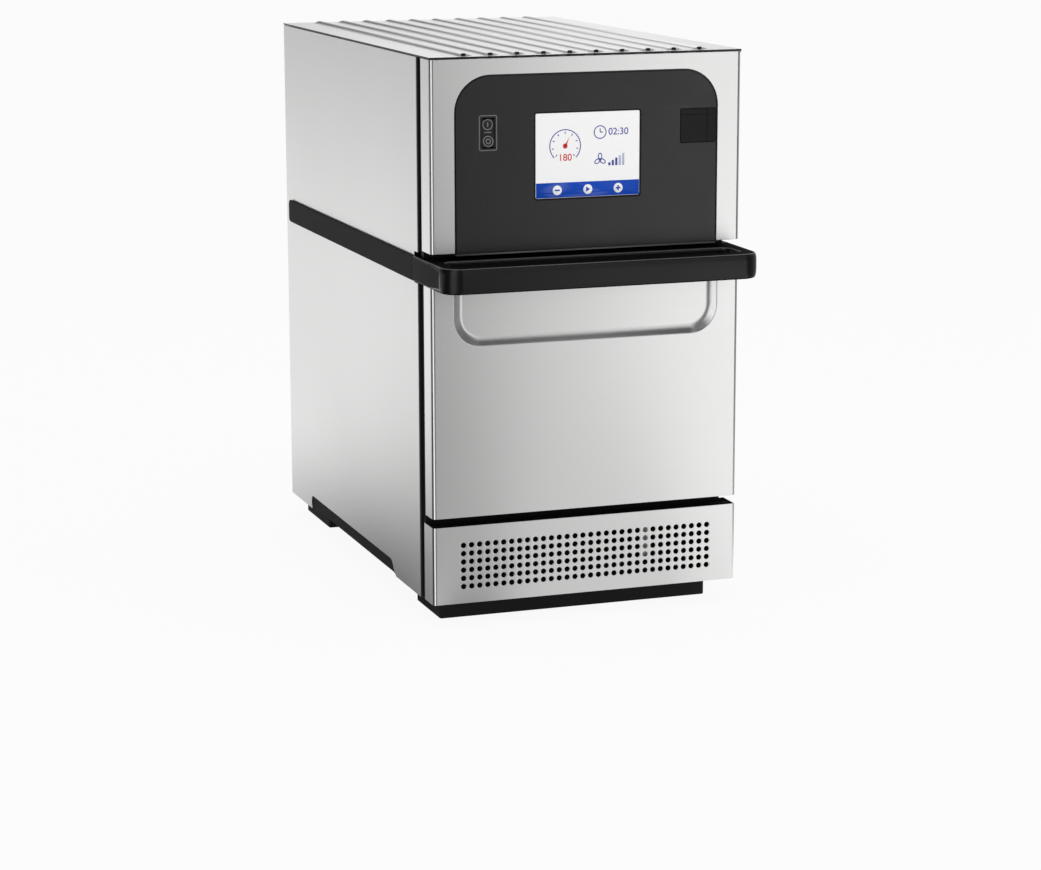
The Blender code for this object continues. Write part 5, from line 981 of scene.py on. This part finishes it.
def screen():
    low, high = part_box("touchscreen")
    face = low.y + SCREEN_SINK / 2
    width = high.x - low.x
    glass = [outline_of("touchscreen", SCREEN_CORNER)]
    finish_piece(plates("screen_glass", [(glass, face, high.y - face, SEAT_GAP)]), "glass",
                 "touchscreen")
    dark = dial_shapes() + clock_shapes() + fan_shapes() + level_shapes(0, LEVELS_ON)
    middle = BAND_HEIGHT / 2
    for name, shapes, finish_name, layer in (
            ("screen_band", bar(width / 2, middle + SEAT_GAP / 2, width - 2 * SEAT_GAP,
                                BAND_HEIGHT - SEAT_GAP), "blue", 0),
            ("screen_lines", dark, "ink", 0),
            ("screen_levels", level_shapes(LEVELS_ON, LEVELS), "pale_ink", 0),
            ("screen_needle", needle_shapes(), "red", 0.5),
            ("screen_buttons", [circle(place, middle, BUTTON_RADIUS) for place in BUTTON_PLACES], "glass", 1),
            ("screen_signs", button_signs(), "blue", 2)):
        shifted = [[(low.x + u, low.z + v) for u, v in shape] for shape in shapes]
        printed(name, shifted, lambda height: face - layer * PRINT_LIFT, finish_name)
    digits("screen_heat", "180", low.x + DIAL_PLACE[0], low.z + DIAL_PLACE[1] - HEAT_DROP, face, "red")
    digits("screen_time", "02:30", low.x + CLOCK_PLACE[0] + TIME_STEP, low.z + CLOCK_PLACE[1], face, "ink")


# Rocker switch
ROCKER_MARGIN = 0.0022
ROCKER_SINK = 0.001125
ROCKER_TILT = 10.0
SWITCH_LINE = 0.0010
SWITCH_LINE_GROW = 0.0004
RING_RADIUS = 0.0053
RING_PITCH = 0.0176


def switch():
    """The bezel and its printed outline, and the marks on the rocker."""
    low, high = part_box("switch_housing")
    u, middle = (low.x + high.x) / 2, (low.z + high.z) / 2
    well = SWITCH_EAR + ROCKER_MARGIN - SEAT_GAP
    outlines = [outline_of("switch_housing", SWITCH_CORNER, -SWITCH_EAR),
                outline_of("switch_housing", SWITCH_CORNER - SWITCH_EAR + well, -well)]
    finish_piece(plates("switch_bezel", [(outlines, low.y, high.y - low.y, SEAT_GAP)]), "black_panel",
                 "switch_housing")
    edge = outline_of("switch_housing", SWITCH_CORNER, SWITCH_LINE_GROW - SWITCH_EAR)
    printed("switch_outline", stroke(edge, SWITCH_LINE, closed=True), lambda v: low.y, "mark")
    tilt = math.tan(math.radians(ROCKER_TILT))
    upper, lower = middle + RING_PITCH / 2, middle - RING_PITCH / 2
    shapes = bar(u, upper, LINE * 1.3, RING_RADIUS) + bar(u, middle + LINE / 2, 1.6 * RING_RADIUS, LINE)
    for v, radius in ((lower, RING_RADIUS), (upper, RING_RADIUS), (lower, RING_RADIUS * 0.45)):
        shapes += stroke(circle(u, v, radius), LINE, closed=True)
    printed("switch_marks", shapes, lambda v: low.y + ROCKER_SINK - max(0.0, middle - v) * tilt, "mark",
            "rocker")


# Cover of the socket
COVER_LINE_DROP = 0.0062
COVER_LINE = 0.0007
COVER_LINE_DEPTH = 0.0008


def socket_cover():
    low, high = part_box("usb_cover")
    thickness = high.y - low.y
    corner, gap = COVER_CORNER, SEAT_GAP
    line = high.z - COVER_LINE_DROP
    lower = rounded(low.x, high.x, low.z, line - COVER_LINE / 2, (corner, 0, 0, 0))
    upper = rounded(low.x, high.x, line + COVER_LINE / 2, high.z, (0, 0, 0, corner))
    back = rounded(low.x + gap, high.x - gap, low.z + gap, high.z - gap, (corner, 0, 0, corner))
    flap = plates("flap", [([lower], low.y, thickness, gap), ([upper], low.y, thickness, gap),
                           ([back], low.y + COVER_LINE_DEPTH, thickness - COVER_LINE_DEPTH, 0)])
    finish_piece(flap, "black_cover", "usb_cover", "socket_flap")
    low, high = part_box("usb_cover_strip")
    outline = rounded(low.x, high.x, low.z, high.z, (0, corner, corner, 0))
    finish_piece(plates("flap_strip", [([outline], low.y, thickness, gap)]), "black_cover",
                 "usb_cover_strip")


# Back cover and its screws
VENT_COUNT = 9
VENT_ROWS = 2
VENT_PITCH = 0.013
VENT_ROW_PITCH = 0.044
VENT_WIDTH = 0.005
VENT_HEIGHT = 0.034
VENT_FIELD_OFFSET = 0.080
VENT_TOP_MARGIN = 0.064
OUTLET_CORNER = 0.0006
GLAND_ROOM = 0.0006
GLAND_NECK_SHARE = 11 / 15
SCREW_RADIUS = 0.0034
SCREW_HEIGHT = 0.0019
SCREW_SOCKET = 0.0013
SCREW_RIM = 0.00169
SOCKET_RISES = (0.98, 0.3)
SCREW_MARGIN = 0.0062
SCREW_ROWS = 5
SCREW_SIDES = 24
SCREW_STEPS = 7
SCREW_ANGLE = 40


def back_cover():
    low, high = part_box("rear_panel")
    outlines = [rounded(low.x, high.x, low.z, high.z, 0)]
    for side in (-1, 1):
        for row in range(VENT_ROWS):
            v = high.z - VENT_TOP_MARGIN - (row - (VENT_ROWS - 1) / 2) * VENT_ROW_PITCH
            for column in range(VENT_COUNT):
                u = side * VENT_FIELD_OFFSET + (column - (VENT_COUNT - 1) / 2) * VENT_PITCH
                outlines += bar(u, v, VENT_WIDTH, VENT_HEIGHT, VENT_WIDTH / 2 - SEAT_GAP)
    gland_low, gland_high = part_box("cable_gland")
    reach = (gland_high.x - gland_low.x) / 2 * GLAND_NECK_SHARE + GLAND_ROOM
    outlines.append(circle((gland_low.x + gland_high.x) / 2, (gland_low.z + gland_high.z) / 2, reach))
    outlines.append(outline_of("exhaust_duct", OUTLET_CORNER, SEAT_GAP))
    finish_piece(plates("back_cover", [(outlines, low.y, high.y - low.y, SEAT_GAP)]), "zinc",
                 "rear_panel")


def screw(bm, centre, facing):
    """A low domed screw head with a six-sided socket, turned to look along facing."""
    dome = [(SCREW_RADIUS * reach, rise) for reach, rise in arc(0, 0, 1, 0, 90, SCREW_STEPS)]
    layers = [(circle(0, 0, radius, SCREW_SIDES), rise) for radius, rise in dome if radius > SCREW_RIM]
    socket = []
    for index in range(SCREW_SIDES):
        angle = 360 * index / SCREW_SIDES
        slant = math.radians(angle - 60 * round(angle / 60))
        socket.append(polar(0, 0, SCREW_SOCKET * math.cos(math.pi / 6) / math.cos(slant), angle))
    layers += [(socket, rise) for rise in SOCKET_RISES]
    rings = [[(u, v, SCREW_HEIGHT * rise) for u, v in outline] for outline, rise in layers]
    turned = Vector(facing).to_track_quat("Z", "X")
    made = [[bm.verts.new(Vector(centre) + turned @ Vector(point)) for point in ring] for ring in rings]
    for corners in loft_faces(made) + [made[-1], made[0][::-1]]:
        bm.faces.new(corners)


def back_screws():
    low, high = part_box("rear_panel")
    inset = SCREW_MARGIN + SIDE_FLANGE
    bm = bmesh.new()
    for row in range(SCREW_ROWS):
        z = low.z + SCREW_MARGIN + (high.z - low.z - 2 * SCREW_MARGIN) * row / (SCREW_ROWS - 1)
        for x in (low.x + inset, high.x - inset):
            screw(bm, (x, high.y + PRINT_LIFT, z), (0, 1, 0))
    mesh = mesh_from(bm, "back_screws", SCREW_ANGLE)
    finish_piece(new_object("back_screws", mesh), "zinc")


# Studio: the lamps light the object, and metal sees a graded floor and world instead of them
FLOOR_SIZE = 40.0
FLOOR_DROP = 0.0002
FLOOR_TONE = 0.90
SEEN_WHITE = 0.93
METAL_WHITE = 0.97
FRONT_SLANT = 0.354
FRONT_SPREAD = 0.21
SIDE_REACH = 1.2
WORLD_DIFFUSE = 0.5
RAMP_TOP = 2.0
RING_CENTRE = (-0.3, 1.0)
NEAR_START = -1.3
NEAR_END = -0.6
BESIDE_FADE = 0.02
BESIDE_START = 0.2
BESIDE_END = 1.2
LAMP_TARGET = (0, 0, 0.3)
# Each lamp's name, place, width, height and power
LAMPS = (("key", (2.4, -2.6, 1.1), 1.6, 2.0, 18.0), ("overhead", (-0.2, -0.3, 2.6), 2.0, 2.0, 14.0))

# What metal sees around it: levels by direction in degrees, 0 to the front and 90 to the right
RING_STOPS = ((-180, 0.09), (-172, 0.16), (-162, 0.35), (-135, 0.20), (-122, 0.04), (-66, 0.04),
              (-54, 1.45), (-32, 1.45), (-22, 0.60), (-12, 0.15), (12, 0.15), (19, 0.85), (25, 0.95),
              (32, 0.45), (40, 0.12), (56, 0.12), (72, 0.30), (94, 0.36), (110, 0.50), (140, 0.55),
              (154, 0.62), (159.5, 1.10), (164.3, 1.08), (170, 0.18), (180, 0.09))
# How the same levels change with height, by the sine of the elevation
HEIGHT_STOPS = ((0.0, 1.0), (0.10, 1.0), (0.20, 1.25), (0.30, 1.25), (0.42, 1.12), (0.55, 1.15),
                (0.75, 1.15), (1.0, 1.0))
# Levels of the floor before the front, from its left end to its right end
FRONT_STOPS = ((0.0, 0.41), (0.11, 0.50), (0.19, 0.70), (0.35, 1.07), (0.52, 1.09), (0.71, 1.12),
               (0.88, 1.48), (1.0, 1.70))
# Levels of the floor beside the oven, from its foot outwards
SIDE_STOPS = ((0.0, 0.88), (0.10, 1.20), (0.25, 1.10), (0.40, 0.98), (0.55, 1.60), (0.75, 1.46),
              (0.90, 1.20), (1.0, 0.73))
# The floor close before the front is a little darker as metal sees it: a painted shadow of the oven in the
# reflections
NEAR_LEVEL = 0.78
FRONT_SECTOR = ((4, 0), (12, 1), (27, 1), (33, 0))


def levels_along(tree, value, stops):
    """Levels up to the ramp's top, read from pairs of a place and its level."""
    node = add_node(tree, "ShaderNodeValToRGB", {"Fac": value})
    node.color_ramp.interpolation = "EASE"
    elements = node.color_ramp.elements
    while len(elements) < len(stops):
        elements.new(0.5)
    for element, (place, level) in zip(elements, stops):
        element.position = place
        element.color = even(level / RAMP_TOP) + (1,)
    return math_node(tree, "MULTIPLY", node.outputs["Color"], RAMP_TOP)


def by_direction(tree, place, centre, stops):
    """Levels by the direction in which a place lies from a centre."""
    x, y = (math_node(tree, "SUBTRACT", place[axis], middle) for axis, middle in zip("XY", centre))
    turn = math_node(tree, "ARCTAN2", x, math_node(tree, "MULTIPLY", y, -1.0))
    share = math_node(tree, "MULTIPLY_ADD", turn, 1 / math.tau, 0.5)
    return levels_along(tree, share, [(degrees / 360 + 0.5, level) for degrees, level in stops])


def coordinates(tree, kind):
    place = add_node(tree, "ShaderNodeTexCoord").outputs[kind]
    return add_node(tree, "ShaderNodeSeparateXYZ", {"Vector": place}).outputs


def rays(tree):
    """Whether a ray is glossy, and whether it is the camera's or goes through glass."""
    ray = add_node(tree, "ShaderNodeLightPath").outputs
    return ray["Is Glossy Ray"], math_node(tree, "MAXIMUM", ray["Is Camera Ray"], ray["Is Transmission Ray"])


def graded_floor(tree):
    """The floor's brightness as metal sees it."""

    def calc(operation, *values):
        return math_node(tree, operation, *values)

    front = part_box("door_outer_skin")[0].y
    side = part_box("left_side_panel")[0].x
    place = coordinates(tree, "Object")
    x, y = place["X"], place["Y"]
    across = calc("MULTIPLY_ADD", calc("SUBTRACT", y, front), FRONT_SLANT, x)
    across = calc("MULTIPLY_ADD", across, 0.5 / FRONT_SPREAD, 0.5)
    # Painted shadow of the oven on the floor close before the front, as metal sees it.
    near = to_range(tree, y, 1.0, NEAR_LEVEL, front + NEAR_START, front + NEAR_END, "SMOOTHSTEP")
    level = blended(tree, by_direction(tree, place, RING_CENTRE, FRONT_SECTOR),
                    by_direction(tree, place, (side, front), RING_STOPS),
                    calc("MULTIPLY", levels_along(tree, across, FRONT_STOPS), near))
    away = calc("DIVIDE", calc("SUBTRACT", side, x), SIDE_REACH)
    beside = calc("MULTIPLY",
                  to_range(tree, x, 1.0, 0.0, side - BESIDE_FADE, side + BESIDE_FADE, "SMOOTHSTEP"),
                  to_range(tree, y, 0.0, 1.0, front + BESIDE_START, front + BESIDE_END, "SMOOTHSTEP"))
    return blended(tree, beside, level, levels_along(tree, away, SIDE_STOPS))


def make_floor():
    bm = bmesh.new()
    bmesh.ops.create_grid(bm, x_segments=1, y_segments=1, size=FLOOR_SIZE)
    floor = new_object("floor", mesh_from(bm, "floor"))
    floor.location = (0, 0, -FLOOR_DROP)
    material, tree, shader = new_material("floor", 0.9)
    fill(tree, shader, {"Specular IOR Level": 0.0, "Base Color": even(FLOOR_TONE) + (1,)})
    glossy, seen = rays(tree)
    seen = math_node(tree, "MULTIPLY", seen, SEEN_WHITE)
    share = math_node(tree, "MULTIPLY_ADD", glossy, METAL_WHITE, seen)
    light = add_node(tree, "ShaderNodeEmission", {"Color": (1, 1, 1, 1),
                                                  "Strength": blended(tree, glossy, 1.0, graded_floor(tree))})
    mix = add_node(tree, "ShaderNodeMixShader", {0: share, 1: shader.outputs[0], 2: light.outputs[0]})
    fill(tree, tree.nodes["Material Output"], {"Surface": mix.outputs[0]})
    floor.data.materials.append(material)


def make_world():
    """White to the camera, and graded levels to metal."""
    world = bpy.data.worlds.new("studio")
    world.use_nodes = True
    bpy.context.scene.world = world
    tree = world.node_tree
    glossy, seen = rays(tree)
    direction = coordinates(tree, "Generated")
    graded = math_node(tree, "MULTIPLY", by_direction(tree, direction, (0, 0), RING_STOPS),
                       levels_along(tree, direction["Z"], HEIGHT_STOPS))
    level = math_node(tree, "MULTIPLY_ADD", seen, 1.0 - WORLD_DIFFUSE, WORLD_DIFFUSE)
    fill(tree, tree.nodes["Background"], {"Color": (1, 1, 1, 1),
                                          "Strength": blended(tree, glossy, level, graded)})


def make_lamps():
    for name, place, width, height, power in LAMPS:
        data = bpy.data.lights.new(name, "AREA")
        data.shape = "RECTANGLE"
        data.size = width
        data.size_y = height
        data.energy = power
        lamp = new_object(name, data)
        lamp.location = place
        lamp.rotation_mode = "QUATERNION"
        lamp.rotation_quaternion = (Vector(LAMP_TARGET) - Vector(place)).to_track_quat("-Z", "Y")
        lamp.visible_glossy = False


def make_pieces():
    for make in (grille_panel, door_skin, fascia, lid):
        make()
    for make in (side_panel, grip_wall):
        make(-1)
        make(1)
    foot_rail("front_foot")
    foot_rail("rear_foot")
    for make in (handle, insert, screen, switch, socket_cover, back_cover, back_screws):
        make()


make_camera()
make_floor()
make_world()
make_lamps()
bpy.context.scene.view_settings.view_transform = "Standard"
make_finishes()
make_pieces()
